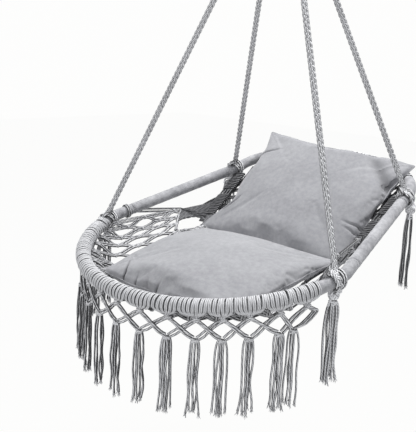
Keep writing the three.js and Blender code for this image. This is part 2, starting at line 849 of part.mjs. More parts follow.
function addCushions() {
  const seatShape = {
    width: seatCushionWidth,
    depth: seatCushionDepth,
    top: seatCushionTop,
    bottom: seatCushionBottom,
  };
  const seatPlace = fromCorners(0, seatCushionSetback, -seatCushionDrop);
  const seatSupports = ['seat_net', 'front_hitch_wrap'];
  layCushion('seat_cushion', seatShape, seatPlace, seatCushionTilt, 0, seatSupports);
  const backShape = {
    width: backCushionWidth,
    depth: backCushionHeight,
    top: backCushionFront,
    bottom: backCushionRear,
  };
  const backPlace = framePoint(0, sideRun);
  backPlace.y -= backCushionInset;
  backPlace.z -= backCushionDrop;
  const backSupports = ['back_net', 'back_hitch_wrap', 'seat_net', 'seat_cushion'];
  layCushion('back_cushion', backShape, backPlace, backCushionTilt, backCushionRoll, backSupports);
}

addFrame();
addCovers();
addRing();
addEye();
addWrap();
addRopes();
addNets();
addFringe();
addCushions();

export default chair;
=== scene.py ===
from math import cos, pi, radians, sin, sqrt

import bpy
import numpy as np
from mathutils import Euler, Matrix, Vector


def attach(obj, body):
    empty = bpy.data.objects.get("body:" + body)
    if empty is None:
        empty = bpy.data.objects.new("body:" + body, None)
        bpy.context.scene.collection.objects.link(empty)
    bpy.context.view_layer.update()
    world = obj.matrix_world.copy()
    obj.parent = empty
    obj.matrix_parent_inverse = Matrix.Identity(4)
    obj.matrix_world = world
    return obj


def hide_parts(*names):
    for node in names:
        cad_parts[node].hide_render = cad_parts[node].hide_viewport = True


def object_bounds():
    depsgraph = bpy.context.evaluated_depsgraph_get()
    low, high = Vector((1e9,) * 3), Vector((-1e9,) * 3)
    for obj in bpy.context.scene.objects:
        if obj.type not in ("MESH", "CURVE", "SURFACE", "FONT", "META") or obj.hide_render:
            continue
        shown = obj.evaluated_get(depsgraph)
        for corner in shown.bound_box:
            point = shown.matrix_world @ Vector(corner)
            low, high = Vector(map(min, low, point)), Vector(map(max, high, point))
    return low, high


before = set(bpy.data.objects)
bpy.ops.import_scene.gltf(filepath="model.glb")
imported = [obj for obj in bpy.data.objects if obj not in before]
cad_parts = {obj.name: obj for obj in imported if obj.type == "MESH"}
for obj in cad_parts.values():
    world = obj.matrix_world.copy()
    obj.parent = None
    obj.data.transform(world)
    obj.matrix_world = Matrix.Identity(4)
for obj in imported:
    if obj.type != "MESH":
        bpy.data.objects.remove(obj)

cad_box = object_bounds()
scene = bpy.context.scene
scene.view_settings.view_transform = "Standard"


# Camera
# Right of the front and a little above the seat, turned slightly with the picture. It
# stands a little over two metres from the middle of the frame's front corners.
azimuth, elevation, roll = radians(41.98), radians(11.73), radians(2.85)
camera_distance, camera_left, camera_lift = 2.19354, 0.02558, 0.06515
corners_middle = Vector((0, -0.181, -1.13729))
to_camera = Vector((sin(azimuth) * cos(elevation), -cos(azimuth) * cos(elevation), sin(elevation)))
level = Vector((cos(azimuth), sin(azimuth), 0))
upright = to_camera.cross(level)
across = level * cos(roll) + upright * sin(roll)
upward = upright * cos(roll) - level * sin(roll)
camera = bpy.data.objects.new("camera", bpy.data.cameras.new("camera"))
camera.data.sensor_fit = "VERTICAL"
camera.data.sensor_height = 36
camera.data.lens = 69.19
camera.data.clip_end = 60
place = corners_middle + to_camera * camera_distance - across * camera_left + upward * camera_lift
turn = Matrix((across, upward, to_camera)).transposed()
camera.matrix_world = Matrix.Translation(place) @ turn.to_4x4()
scene.collection.objects.link(camera)
scene.camera = camera


# Light and backdrop
# Three round lamps: the main one at the front left, a weaker one at the right and a strong
# one above, with an even sky. The floor is plain and pale, below the tassels, and the
# camera sees it and the sky in one nearly white tone.
def lamp(name, where, aim, size, watts):
    data = bpy.data.lights.new(name, "AREA")
    data.shape = "DISK"
    data.size = size
    data.energy = watts
    light = bpy.data.objects.new(name, data)
    light.location = where
    light.rotation_euler = (Vector(aim) - Vector(where)).to_track_quat("-Z", "Y").to_euler()
    scene.collection.objects.link(light)


lamp("key_light", (-1.0, -2.7, 1.1), (0, -0.1, -1.1), 1.5, 37)
lamp("fill_light", (2.6, -2.2, -0.4), (0, 0, -1.1), 2.4, 15)
lamp("top_light", (0.1, 0.9, 1.9), (0, 0, -1.0), 1.3, 122)

floor_half, floor_z = 9, cad_box[0][2] - 0.35
floor_corners = [(x * floor_half, y * floor_half, floor_z) for x, y in ((-1, -1), (1, -1), (1, 1), (-1, 1))]
floor_mesh = bpy.data.meshes.new("floor")
floor_mesh.from_pydata(floor_corners, [], [(0, 1, 2, 3)])
floor = bpy.data.objects.new("floor", floor_mesh)
scene.collection.objects.link(floor)


class Shade:
    """A value in a material's nodes. The usual operators add the node that works them out."""

    def __init__(self, tree, socket):
        self.tree = tree
        self.socket = socket

    def math(self, operation, *values):
        node = add_node(self.tree, "ShaderNodeMath", {"operation": operation}, dict(enumerate(values)))
        return Shade(self.tree, node.outputs[0])

    def __add__(self, other):
        return self.math("ADD", self, other)

    def __radd__(self, other):
        return self.math("ADD", other, self)

    def __mul__(self, other):
        return self.math("MULTIPLY", self, other)

    def __rmul__(self, other):
        return self.math("MULTIPLY", other, self)

    def __pow__(self, other):
        return self.math("POWER", self, other)

    def __rpow__(self, other):
        return self.math("POWER", other, self)

    def __abs__(self):
        return self.math("ABSOLUTE", self)

    def sin(self):
        return self.math("SINE", self)

    def angle_from(self, other):
        return self.math("ARCTAN2", self, other)

    def within(self, low, high):
        """Rises smoothly from 0 to 1 between two levels."""
        ramp = add_node(self.tree, "ShaderNodeMapRange", {"interpolation_type": "SMOOTHSTEP", "clamp": True},
                        {"Value": self, "From Min": low, "From Max": high})
        return Shade(self.tree, ramp.outputs["Result"])

    def mix(self, low, high):
        """The colour between two colours."""
        node = add_node(self.tree, "ShaderNodeMix", {"data_type": "RGBA"}, {"Factor": self, 6: low, 7: high})
        return Shade(self.tree, node.outputs[2])


def join(tree, value, socket):
    """Set a socket to a value, or link it to one."""
    if isinstance(value, Shade):
        tree.links.new(value.socket, socket)
    elif socket.type == "RGBA":
        socket.default_value = (*value[:3], 1)
    else:
        socket.default_value = value


def add_node(tree, kind, settings=None, inputs=None):
    """A node with its settings, and the value or link of each socket by name or number."""
    node = tree.nodes.new(kind)
    for name, value in (settings or {}).items():
        setattr(node, name, value)
    for socket, value in (inputs or {}).items():
        join(tree, value, node.inputs[socket])
    return node


class Material:
    """A material under way: its noises, bumps and painted values, and its one surface."""

    def __init__(self, name, roughness, **uniform):
        self.material = bpy.data.materials.new(name)
        self.material.use_nodes = True
        self.tree = self.material.node_tree
        self.surface = self.tree.nodes["Principled BSDF"]
        self.surface.inputs["Roughness"].default_value = roughness
        for label, value in uniform.items():
            self.surface.inputs[label.replace("_", " ")].default_value = value
        self.relief = None

    def node(self, kind, settings=None, inputs=None, output=0):
        return Shade(self.tree, add_node(self.tree, kind, settings, inputs).outputs[output])

    def noise(self, scale, detail=3.0, roughness=0.55):
        where = self.node("ShaderNodeTexCoord", output="Object")
        inputs = {"Vector": where, "Scale": scale, "Detail": detail, "Roughness": roughness}
        return self.node("ShaderNodeTexNoise", None, inputs)

    def painted(self, attribute, output="Fac"):
        return self.node("ShaderNodeAttribute", {"attribute_name": attribute}, output=output)

    def lay(self):
        """Each place's turn round its cord, and its way along it."""
        parts = add_node(self.tree, "ShaderNodeSeparateXYZ", None, {"Vector": self.painted("lay", "Vector")})
        x, y, along = (Shade(self.tree, part) for part in parts.outputs)
        return y.angle_from(x), along

    def bump(self, height, distance, strength=1.0):
        inputs = {"Height": height, "Distance": distance, "Strength": strength}
        if self.relief:
            inputs["Normal"] = self.relief
        self.relief = self.node("ShaderNodeBump", None, inputs)

    def done(self, colour, roughness=None):
        join(self.tree, colour, self.surface.inputs["Base Color"])
        if roughness is not None:
            join(self.tree, roughness, self.surface.inputs["Roughness"])
        if self.relief:
            join(self.tree, self.relief, self.surface.inputs["Normal"])
        return self.material


def pale_to_camera(tree, lit, pale_kind, output, rays, share=1.0):
    """The camera sees a pale, even tone where other rays of light see the lit surface."""
    path = add_node(tree, "ShaderNodeLightPath")
    seen = Shade(tree, path.outputs[f"Is {rays[0]} Ray"])
    for ray in rays[1:]:
        seen = seen + Shade(tree, path.outputs[f"Is {ray} Ray"])
    pale = add_node(tree, pale_kind, None, {"Color": (0.985, 0.985, 0.98), "Strength": 1.0})
    surfaces = {1: Shade(tree, lit.outputs[0]), 2: Shade(tree, pale.outputs[0])}
    mixed = add_node(tree, "ShaderNodeMixShader", None, {0: seen * share, **surfaces})
    tree.links.new(mixed.outputs[0], tree.nodes[output].inputs[0])


floor_paint = Material("floor_paint", 0.8)
floor_paint.bump(floor_paint.noise(40, 4), 0.0005)
floor_tone = floor_paint.noise(1.2).mix((0.66, 0.66, 0.66), (0.7, 0.7, 0.7))
floor_mesh.materials.append(floor_paint.done(floor_tone))
pale_to_camera(floor_paint.tree, floor_paint.surface, "ShaderNodeEmission", "Material Output",
               ("Camera", "Glossy"), 0.98)

world = bpy.data.worlds.new("studio")
world.use_nodes = True
scene.world = world
sky = world.node_tree.nodes["Background"]
sky.inputs["Color"].default_value = (0.93, 0.96, 1.0, 1)
sky.inputs["Strength"].default_value = 0.42
pale_to_camera(world.node_tree, sky, "ShaderNodeBackground", "World Output",
               ("Camera", "Glossy", "Transmission"))


# Suspension ropes
# Four ropes, each plaited from three strands of two cotton cords. They run from the hitches
# at the frame's corners to the crown knot, where their ends go in side by side.
x_way, y_way, up = np.eye(3)


def unit(vector):
    return np.asarray(vector, float) / np.linalg.norm(vector)


def ways_along(points):
    """How far along a line each of its points is."""
    return np.concatenate([[0], np.cumsum(np.linalg.norm(np.diff(points, axis=0), axis=1))])


def between(points, known, at):
    """The places on a line at given ways along it, where its own points' ways are known."""
    return np.stack([np.interp(at, known, points[:, k]) for k in range(3)], -1)


def full_turn(count):
    """Angles all the way round, so many of them."""
    return np.linspace(0, 2 * pi, count, endpoint=False)


def sweep(points, radius, sides=8, closed=False, across_way=None):
    """A tube along points: its vertices, faces, and each vertex's turn and way along it."""
    p = np.asarray(points, float)
    n = len(p)
    if closed:
        tangent = np.roll(p, -1, 0) - np.roll(p, 1, 0)
    else:
        tangent = np.gradient(p, axis=0)
    tangent /= np.linalg.norm(tangent, axis=1, keepdims=True)
    if across_way is None:
        current = np.cross(tangent[0], (0.31, 0.17, 0.93))
        if np.linalg.norm(current) < 0.2:
            current = np.cross(tangent[0], x_way)
    else:
        current = np.asarray(across_way, float)
    u = np.zeros_like(p)
    for i in range(n):
        current = unit(current - tangent[i] * (current @ tangent[i]))
        u[i] = current
    v = np.cross(tangent, u)
    turn_at = full_turn(sides)
    r = np.broadcast_to(np.asarray(radius, float), (n,))[:, None, None]
    ring = np.cos(turn_at)[None, :, None] * u[:, None, :] + np.sin(turn_at)[None, :, None] * v[:, None, :]
    verts = (p[:, None, :] + r * ring).reshape(-1, 3)
    lay = np.zeros((n, sides, 3))
    lay[..., 0] = np.cos(turn_at)
    lay[..., 1] = np.sin(turn_at)
    lay[..., 2] = ways_along(p)[:, None]
    faces = []
    rows = n if closed else n - 1
    for i in range(rows):
        a, b = i * sides, (i + 1) % n * sides
        for k in range(sides):
            m = (k + 1) % sides
            faces.append((a + k, a + m, b + m, b + k))
    if not closed:
        faces.append(tuple(range(sides - 1, -1, -1)))
        faces.append(tuple((n - 1) * sides + k for k in range(sides)))
    return verts, faces, lay.reshape(-1, 3)


def dressed(name, verts, faces, painted, material, body, replaced):
    """A smooth mesh with values painted on its vertices, riding on one body of the chair."""
    mesh = bpy.data.meshes.new(name)
    mesh.from_pydata(verts.tolist(), [], faces)
    for label, values in painted.items():
        kind, field = ("FLOAT_VECTOR", "vector") if values.ndim > 1 else ("FLOAT", "value")
        mesh.attributes.new(label, kind, "POINT").data.foreach_set(field, values.astype(np.float32).ravel())
    mesh.polygons.foreach_set("use_smooth", [True] * len(mesh.polygons))
    mesh.materials.append(material)
    piece = bpy.data.objects.new(name, mesh)
    scene.collection.objects.link(piece)
    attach(piece, body)
    if replaced:
        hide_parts(*replaced)
    return piece


class Cords:
    """Cords gathered into one mesh, each a tube along its own line."""

    def __init__(self):
        self.verts, self.faces, self.lays, self.grooves, self.count = [], [], [], [], 0
        self.start = np.random.default_rng(1)

    def add(self, points, radius, touching=0.0, **shape):
        """Add a cord with painted shade along both sides, from 0 to 1 as dark as where it touches its
        neighbours.
        """
        verts, faces, lay = sweep(points, radius, **shape)
        self.grooves.append(lay[:, 0] ** 2 * touching)
        lay[:, 2] += self.start.uniform(0, 0.05)
        self.verts.append(verts)
        self.lays.append(lay)
        self.faces += [tuple(k + self.count for k in face) for face in faces]
        self.count += len(verts)

    def piece(self, name, material, body, replaced=(), slot="cotton_cord"):
        painted = {"lay": np.concatenate(self.lays), "groove": np.concatenate(self.grooves)}
        dressed(name, np.concatenate(self.verts), self.faces, painted, material, body, replaced)


def cord_cotton(name, light, dark, pitch, depth):
    """Cotton twisted from three plies: a pitch, fibres, a tone that drifts, and painted shade in its
    grooves.
    """
    cotton = Material(name, 0.92, Sheen_Weight=0.15, Specular_IOR_Level=0.25)
    turned, along = cotton.lay()
    ply = abs((turned * (3 / 2) + along * (pi / pitch)).sin())
    fibres = cotton.noise(1500, 2, 0.7)
    drift = cotton.noise(14, 3)
    cotton.bump(ply ** 0.6, depth)
    cotton.bump(fibres, 0.0003, 0.6)
    # The grooves between the plies are painted towards the dark colour, as painted shade.
    tone = ply.within(0, 0.7) * 0.68 + drift.within(0.3, 0.7) * 0.2 + fibres * 0.12
    # Painted shade, nearly black, along the sides where a cord touches its neighbours.
    groove = cotton.painted("groove").within(0.08, 0.78) * 0.95
    return cotton.done(groove.mix(tone.mix(dark, light), (0.02, 0.02, 0.022)))


corner_y, corner_z = corners_middle.y, corners_middle.z
frame_tilt = radians(15.9)
# Between the tubes' axes: half the front's width, the arc's depth, the side tubes' run,
# and half the bow's width. The side tubes come closer together towards the back.
half_width, arc_depth, side_run, back_half = 0.4, 0.325, 0.453, 0.302
taper = (half_width - back_half) / side_run


def frame_point(u, v):
    """A point in the plane of the side tubes: across, and back from the front corners."""
    return np.array((u, corner_y + v * cos(frame_tilt), corner_z + v * sin(frame_tilt)))


def arc_point(degrees):
    """A point on the axis of the front arc, in degrees from its middle."""
    return frame_point(half_width * sin(radians(degrees)), -arc_depth * cos(radians(degrees)))


def side_point(side, v):
    """A point on the axis of a side tube, so far back from its front corner."""
    return frame_point(side * (half_width - taper * v), v)


crown = np.array((0, 0, -0.18729))
# A front hitch is so many degrees from the arc's middle, a back one so far along its tube.
front_hitch, back_hitch = 83, side_run - 0.021


def hitch_centre(front, side):
    """The middle of a rope's hitch: near the end of the arc, or of a side tube at the back."""
    return arc_point(side * front_hitch) if front else side_point(side, back_hitch)


rope_cotton = cord_cotton("rope_cotton", (0.95, 0.95, 0.965), (0.40, 0.40, 0.41), 0.009, 0.0009)
plait_length, plait_step = 0.046, 0.0035
corner_names = [("front_left", True, -1), ("front_right", True, 1),
                ("back_left", False, -1), ("back_right", False, 1)]


def plait(cords, points, flat_way, width, depth, radius, phase):
    """Three strands of two cords, crossing over and under from side to side."""
    points = np.asarray(points, float)
    ways = ways_along(points)
    t = np.linspace(0, ways[-1], max(int(ways[-1] / plait_step), 8) + 1)
    middle = between(points, ways, t)
    axis = np.gradient(middle, axis=0)
    axis /= np.linalg.norm(axis, axis=1, keepdims=True)
    wide = flat_way - axis * (axis @ flat_way)[:, None]
    wide /= np.linalg.norm(wide, axis=1, keepdims=True)
    deep = np.cross(axis, wide)
    for strand in range(3):
        turned = 2 * pi * (t / plait_length + strand / 3) + phase
        x = width * np.sin(turned)
        y = depth * np.sin(2 * turned)
        slope = np.gradient(x, t)
        for pair in (-1, 1):
            lean = pair * radius * 0.86 / np.sqrt(1 + slope ** 2)
            line = middle + wide * (x + lean)[:, None] + deep * y[:, None] - axis * (lean * slope)[:, None]
            cords.add(line, radius, touching=0.8, across_way=wide[0])


rope_width, rope_depth, rope_cord = 0.0038, 0.0030, 0.0024
# Each rope's axis starts above its hitch and ends beside the other tops in the crown.
foot_lift, foot_gap, top_gap, tops_apart, tops_before = 0.02, 0.006, 0.033, 0.018, 0.0015
for corner, front, side in corner_names:
    foot = hitch_centre(front, side) + up * foot_lift
    top = crown + x_way * side * tops_apart - y_way * (tops_before if front else -tops_before)
    axis = unit(top - foot)
    rope = Cords()
    plait(rope, [foot + axis * foot_gap, top - axis * top_gap], np.array(level), rope_width, rope_depth,
          rope_cord, side + (0.8 if front else 0))
    rope.piece(f"plaited_rope_{corner}", rope_cotton, "chair", [f"suspension_rope_{corner}"], "plaited_rope")


# Ring, rope eye, gathering wrap and crown knot
# The ring is zinc-plated wire on the hook. A doubled rope goes round it, whipped together
# at the neck, and the four ropes are knotted into one ball under the whipping.
zinc = Material("zinc", 0.3, Metallic=1.0)
zinc.bump(zinc.noise(260, 3), 0.0002, 0.4)
zinc_wear = zinc.noise(60, 4).within(0.35, 0.65)
zinc_tone = zinc_wear.mix((0.55, 0.56, 0.57), (0.72, 0.73, 0.74))
ring_steel = zinc.done(zinc_tone, zinc_wear * 0.2 + 0.22)
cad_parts["hanging_ring"].data.materials.clear()
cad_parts["hanging_ring"].data.materials.append(ring_steel)
# The ropes' own cotton, painted darker at the eye, whipping and crown knot: painted shade against the strong
# lamp above.
shade_painted_crown_cotton = cord_cotton("shade_painted_crown_cotton", (0.58, 0.58, 0.59), (0.15, 0.15, 0.155), 0.014, 0.0009)


def oval(angle, wide, deep, wide_way, deep_way):
    """Out from a centre all the way round, so far each way."""
    return np.outer(wide * np.cos(angle), wide_way) + np.outer(deep * np.sin(angle), deep_way)


# The eye bends over the ring's wire and its two legs go down into the neck.
wire_z, eye_bend, eye_leg = -0.054, 0.0124, 0.066
strand_pitch, strand_out, strand_radius = 0.034, 0.0036, 0.0041
eye = Cords()
s = np.linspace(0, 2 * eye_leg + pi * eye_bend, 90)
bend_at = np.clip((s - eye_leg) / eye_bend, 0, pi)
straight = np.clip(eye_leg - s, 0, None) + np.clip(s - eye_leg - pi * eye_bend, 0, None)
out = np.outer(np.cos(bend_at), y_way) + np.outer(np.sin(bend_at), up)
middle = eye_bend * out + np.outer(wire_z - straight, up)
for strand in range(3):
    turned = 2 * pi * (s / strand_pitch + strand / 3)
    twist = np.outer(np.cos(turned), x_way) + out * np.sin(turned)[:, None]
    eye.add(middle + strand_out * twist, strand_radius, sides=9)
neck_top, neck_pitch, neck_radius, neck_cord = -0.094, 0.0062, 0.0172, 0.0031
for turn_number in range(5):
    loop = oval(full_turn(40), neck_radius, neck_radius, x_way, y_way)
    eye.add(loop + up * (neck_top - turn_number * neck_pitch), neck_cord, closed=True)
eye.piece("eye_rope", shade_painted_crown_cotton, "eye", ["rope_eye"], "plaited_rope")

whipping_top, whipping_pitch, whipping_radius = -0.0965, 0.0053, 0.0228
whipping_turns, whipping_cord = 10.5, 0.0028
whipping = Cords()
angle = np.linspace(0, 2 * pi * whipping_turns, 600)
coil = oval(angle, whipping_radius, whipping_radius, x_way, y_way)
whipping.add(coil + np.outer(whipping_top - angle / (2 * pi) * whipping_pitch, up), whipping_cord)
whipping.piece("whipping_cord", shade_painted_crown_cotton, "wrap", ["gathering_wrap"], "plaited_rope")


def wound_ball(cords, centre, size, lifts, radius, tilts, turned, waves, points):
    """A knot drawn tight: loops of cord wound round a ball in three directions."""
    for way in range(3):
        poles = np.array(Euler((way * tilts[0] + turned, way * tilts[1], way * tilts[2])).to_matrix())
        angle = full_turn(points)
        for lift in lifts:
            wide = sqrt(size ** 2 - lift ** 2) * (1 + waves[0] * np.sin(waves[1] * angle + way))
            cords.add(centre + oval(angle, wide, wide, poles[:, 0], poles[:, 1]) + lift * poles[:, 2],
                      radius, closed=True)


ball_radius, ball_spacing, ball_cord = 0.0315, 0.0125, 0.0062
ball = Cords()
wound_ball(ball, crown, ball_radius, [turn * ball_spacing for turn in range(-2, 3)], ball_cord,
           (1.15, 0.7, 1.3), 0, (0.04, 3), 44)
ball.piece("crown_ball", shade_painted_crown_cotton, "chair", ["crown_knot"], "plaited_rope")


# Frame tubes and their plush sleeves
# Steel tubes, plugged together at four joints, inside sleeves of short plush. The steel
# only shows where a sleeve stops short.
coat = Material("grey_coat", 0.45, Metallic=0.2)
coat.bump(coat.noise(700, 2), 0.0001, 0.5)
steel = coat.done(coat.noise(30, 3).mix((0.36, 0.37, 0.38), (0.44, 0.45, 0.46)))
for name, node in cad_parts.items():
    if "tube" in name or "spigot" in name:
        node.data.materials.clear()
        node.data.materials.append(steel)


def plush_cloth(name, light, dark, nap=0.0005):
    """Short pile: a fine nap, brushed patches that catch the light, a soft sheen and painted crease shade.
    """
    cloth = Material(name, 0.95, Sheen_Weight=0.35, Sheen_Roughness=0.45, Specular_IOR_Level=0.15)
    pile = cloth.noise(900, 3, 0.7)
    brushed = cloth.noise(75, 4, 0.65)
    patches = cloth.noise(9, 3)
    cloth.bump(pile, nap)
    cloth.bump(brushed, 0.0012, 0.35)
    tone = brushed.within(0.3, 0.7) * 0.45 + patches.within(0.35, 0.65) * 0.3 + pile * 0.25
    # Painted shade: where a mesh marks a crease, the colour goes nearly black.
    return cloth.done(cloth.painted("fold").within(0, 1).mix(tone.mix(dark, light), (0.05, 0.05, 0.054)))


sleeve_plush = plush_cloth("sleeve_plush", (0.52, 0.52, 0.535), (0.21, 0.21, 0.225))
bow_tilt, bow_depth = radians(25), 0.155


def bow_point(degrees):
    """A point on the axis of the back bow, in degrees from its middle."""
    back_corner = frame_point(back_half * sin(radians(degrees)), side_run)
    w = bow_depth * cos(radians(degrees))
    return back_corner + np.array((0, w * cos(bow_tilt), w * sin(bow_tilt)))


sleeve_radius, sleeve_ripple, sleeve_rounding, sleeve_end, sleeve_step = 0.0158, 0.0003, 0.0012, 0.005, 0.004


def sleeve(name, points):
    """A sleeve that ripples a little along its length and rounds over at its ends."""
    points = np.asarray(points)
    ways = ways_along(points)
    fine = np.arange(0, ways[-1], sleeve_step)
    ends = np.minimum(fine, fine[-1] - fine)
    radius = sleeve_radius + sleeve_ripple * np.sin(fine * 170) * np.sin(fine * 41 + 1)
    radius = radius - sleeve_rounding * np.clip(1 - ends / sleeve_end, 0, 1) ** 2
    plush = Cords()
    plush.add(between(points, ways, fine), radius, sides=28)
    plush.piece(name + "_plush", sleeve_plush, "chair", [name], "plush_sleeve")


# The gap between neighbours, and how far the corners' sleeves reach along a side tube.
fit, stub = 0.0003, 0.05
left_end, right_end = ([side_point(side, stub), side_point(side, 0.0)] for side in (-1, 1))
sleeve("arc_sleeve_left", left_end + [arc_point(a) for a in np.arange(-88, -71.9, 1.5)])
sleeve("arc_sleeve_right", [arc_point(a) for a in np.arange(72.3, 88.5, 1.5)] + right_end[::-1])
for side, hand in ((-1, "left"), (1, "right")):
    sleeve(f"side_sleeve_{hand}", [side_point(side, stub + fit), side_point(side, side_run - stub - fit)])
    bend = [side_point(side, side_run - stub)] + [bow_point(side * a) for a in np.arange(90, 59.9, -2)]
    sleeve(f"back_sleeve_{hand}", bend)


# Hitches round the front arc and the back bow
# The nets' cords are hitched over the tube in pairs, packed side by side. Under the front
# arc, the loops of each few hitches draw together where a lace knot starts.
hitch_cotton = cord_cotton("hitch_cotton", (0.74, 0.74, 0.755), (0.48, 0.48, 0.49), 0.018, 0.0004)
# In degrees from the arc's middle. The lace's knots sit above the tassels, the last of them
# a little further out.
tassel_angles = [-90 * s for s in (0.83, 0.72, 0.61, 0.505, 0.4, 0.3, 0.182, 0.06)]
tassel_angles += [90 * s for s in (0.066, 0.192, 0.31, 0.415, 0.52, 0.64, 0.7)]
apex_angles = tassel_angles[:-1] + [68]
frame_normal = np.array((0, -sin(frame_tilt), cos(frame_tilt)))
bow_normal = np.array((0, -sin(bow_tilt), cos(bow_tilt)))


def tube_axes(curve, degrees, normal):
    """Along the tube, and outwards from the seat, at a place on the arc or the bow."""
    along = unit(curve(degrees + 0.5) - curve(degrees - 0.5))
    return along, np.cross(along, normal)


def hitched(curve, normal, low, high, pitch, radius, cord, targets, rng):
    """Pairs of cord looped round a tube between two places, both given in degrees."""
    cords = Cords()
    here = low
    while here < high:
        along, outward = tube_axes(curve, here, normal)
        speed = np.linalg.norm(curve(here + 0.5) - curve(here - 0.5))
        nearest = min(targets, key=lambda target: abs(target - here), default=here)
        drawn = np.clip(nearest - here, -4.5, 4.5) * speed
        loose = np.clip((-70 - here) / 3, 0, 1)
        lean = 0.0014 + rng.normal(0, 0.0010) + 0.0055 * loose * (1 + rng.normal(0, 0.5))
        size = 1 + rng.normal(0, 0.016 + 0.02 * loose)
        for pair in (-1, 1):
            angle = full_turn(28)
            low_part = np.clip(0.3 * np.cos(angle) - np.sin(angle), 0, 1) ** 3
            shift = pair * 0.81 * cord * (1 - 0.6 * low_part) + lean * np.sin(angle)
            shift = shift + drawn * 0.65 * low_part
            r = radius * size * (1 + 0.05 * low_part * bool(targets))
            loop = curve(here) + np.outer(shift, along) + oval(angle, r, r, outward, normal)
            cords.add(loop, cord, sides=10, closed=True, touching=0.8, across_way=along)
        here += pitch * (1 - 0.14 * np.clip((here - 18) / 10, 0, 1) * bool(targets)) / speed
    return cords


front_pitch, front_radius, front_cord = 0.0114, 0.0181, 0.0026
back_pitch, back_radius, back_cord = 0.0098, 0.0153, 0.0021
rng = np.random.default_rng(7)
front_hitches = hitched(arc_point, frame_normal, -80, 73, front_pitch, front_radius, front_cord,
                        apex_angles, rng)
front_hitches.piece("front_hitches", hitch_cotton, "chair", ["front_hitch_wrap"])
back_hitches = hitched(bow_point, bow_normal, -59.5, 59.5, back_pitch, back_radius, back_cord, [], rng)
back_hitches.piece("back_hitches", hitch_cotton, "chair", ["back_hitch_wrap"])


# Seat and back nets
# Pairs of cotton cord, knotted into long diamonds. The seat net hangs from the front
# hitches to the crease behind the seat, and the back net goes up from there to the back
# bow. The back net's cotton is painted far darker, as painted shade for the pillow's shadow.
# The seat net's cotton is the lace's cord painted darker, as painted shade.
seat_cotton = cord_cotton("seat_cotton", (0.72, 0.72, 0.735), (0.10, 0.10, 0.105), 0.018, 0.0009)
shaded_cotton = cord_cotton("shaded_cotton", (0.24, 0.24, 0.25), (0.03, 0.03, 0.033), 0.018, 0.0009)
crease_half, crease_back, crease_forward, crease_rise, crease_sag = 0.335, 0.303, 0.04, 0.006, 0.110
net_cord, seat_sag, back_sag, back_waist = 0.0055, 0.064, 0.014, 0.016
# In degrees either way from the middle: where the seat net ends on the arc, where the
# hitches that carry it end, and where the back net ends on the bow.
net_reach, arc_hitches, bow_net_reach = 80, 72, 74
hitch_reach, thin, net_knot, rim_half = 0.021, 0.0030, 0.0046, 0.86


def arc_edge(s):
    """Where the seat net leaves the arc's hitches, from -1 at the left to 1 at the right."""
    angle = s * net_reach
    past = max((abs(angle) - arc_hitches) / (net_reach - arc_hitches), 0)
    reach = hitch_reach + 0.007 * past + fit + net_cord / 2
    down = pi / 4 * (1 - past)
    _, outward = tube_axes(arc_point, angle, frame_normal)
    return arc_point(angle) - outward * reach * cos(down) - frame_normal * reach * sin(down)


def crease(s):
    """The sagging line behind the seat where both nets meet."""
    dip = max(1 - s * s, 0)
    y = crease_back - crease_forward * dip
    return np.array((s * crease_half, corner_y + y, corner_z + crease_rise - crease_sag * dip * dip))


def drawn_in(s):
    """On the right the load has drawn the net's edge inwards and up, beside the tube."""
    return np.clip((s - 0.6) / 0.4, 0, 1) ** 1.5 * np.array((-0.034, 0, 0.036))


def seat_surface(s, r):
    """A place on the seat net: from left to right, and from the arc to the crease."""
    rear = crease(s)
    rear[1] -= net_cord / 2 + fit
    sag = seat_sag * max(1 - s * s, 0) ** 0.5 * 2 * max(r, 0) ** 0.35 * (1 - r)
    point = arc_edge(s) * (1 - r) + rear * r
    point[2] -= sag
    return point + drawn_in(s) * min(2 * r, 1)


def bow_edge(s):
    """Where the back net leaves the bow's hitches."""
    _, inward = tube_axes(bow_point, s * bow_net_reach, bow_normal)
    reach = (hitch_reach + fit + net_cord / 2) * sqrt(0.5)
    return bow_point(s * bow_net_reach) + (inward - bow_normal) * reach


def back_surface(s, r):
    """A place on the back net: from left to right, and from the crease to the bow."""
    low = crease(s)
    low[1] += net_cord / 2 + fit
    point = low * (1 - r) + bow_edge(s) * r
    bulge = 4 * r * (1 - r)
    sag = back_sag * max(1 - s * s, 0) * bulge * sqrt(0.5)
    return point + np.array((-1.6 * back_waist * s * bulge, sag, -sag)) + drawn_in(s) * (1 - r)


def surface_normal(surface, s, r):
    """The way straight out of a net's surface."""
    e = 0.01
    wide = surface(min(s + e, 1), r) - surface(max(s - e, -1), r)
    long = surface(s, min(r + e, 1)) - surface(s, max(r - e, 0))
    return unit(np.cross(wide, long))


def lengthways(surface, s, r):
    """The way along a net's surface from its start to its end."""
    return unit(surface(s, min(r + 0.02, 1)) - surface(s, max(r - 0.02, 0)))


def smooth_line(points, steps=6):
    """A smooth line through the points given."""
    p = np.asarray(points, float)
    p = np.vstack([2 * p[0] - p[1], p, 2 * p[-1] - p[-2]])
    line = []
    for i in range(1, len(p) - 2):
        for t in np.linspace(0, 1, steps, endpoint=False):
            line.append(0.5 * (2 * p[i] + (p[i + 1] - p[i - 1]) * t
                               + (2 * p[i - 1] - 5 * p[i] + 4 * p[i + 1] - p[i + 2]) * t * t
                               + (3 * p[i] - p[i - 1] - 3 * p[i + 1] + p[i + 2]) * t ** 3))
    return np.array(line + [p[-2]])


def knot(cords, centre, along, normal, size, rng):
    """Two loops drawn tight over the pairs of cord that meet, leaning either way."""
    sideways = np.cross(normal, along)
    for shift in (-0.5, 0.5):
        angle = full_turn(14)
        lean = shift + rng.normal(0, 0.15)
        loop = centre + along * shift * size * 0.6 + oval(angle, size, 0.66 * size, sideways, normal)
        loop = loop + np.outer(np.cos(angle) * lean * size * 0.5, along)
        cords.add(loop, thin * 0.9, sides=6, closed=True)


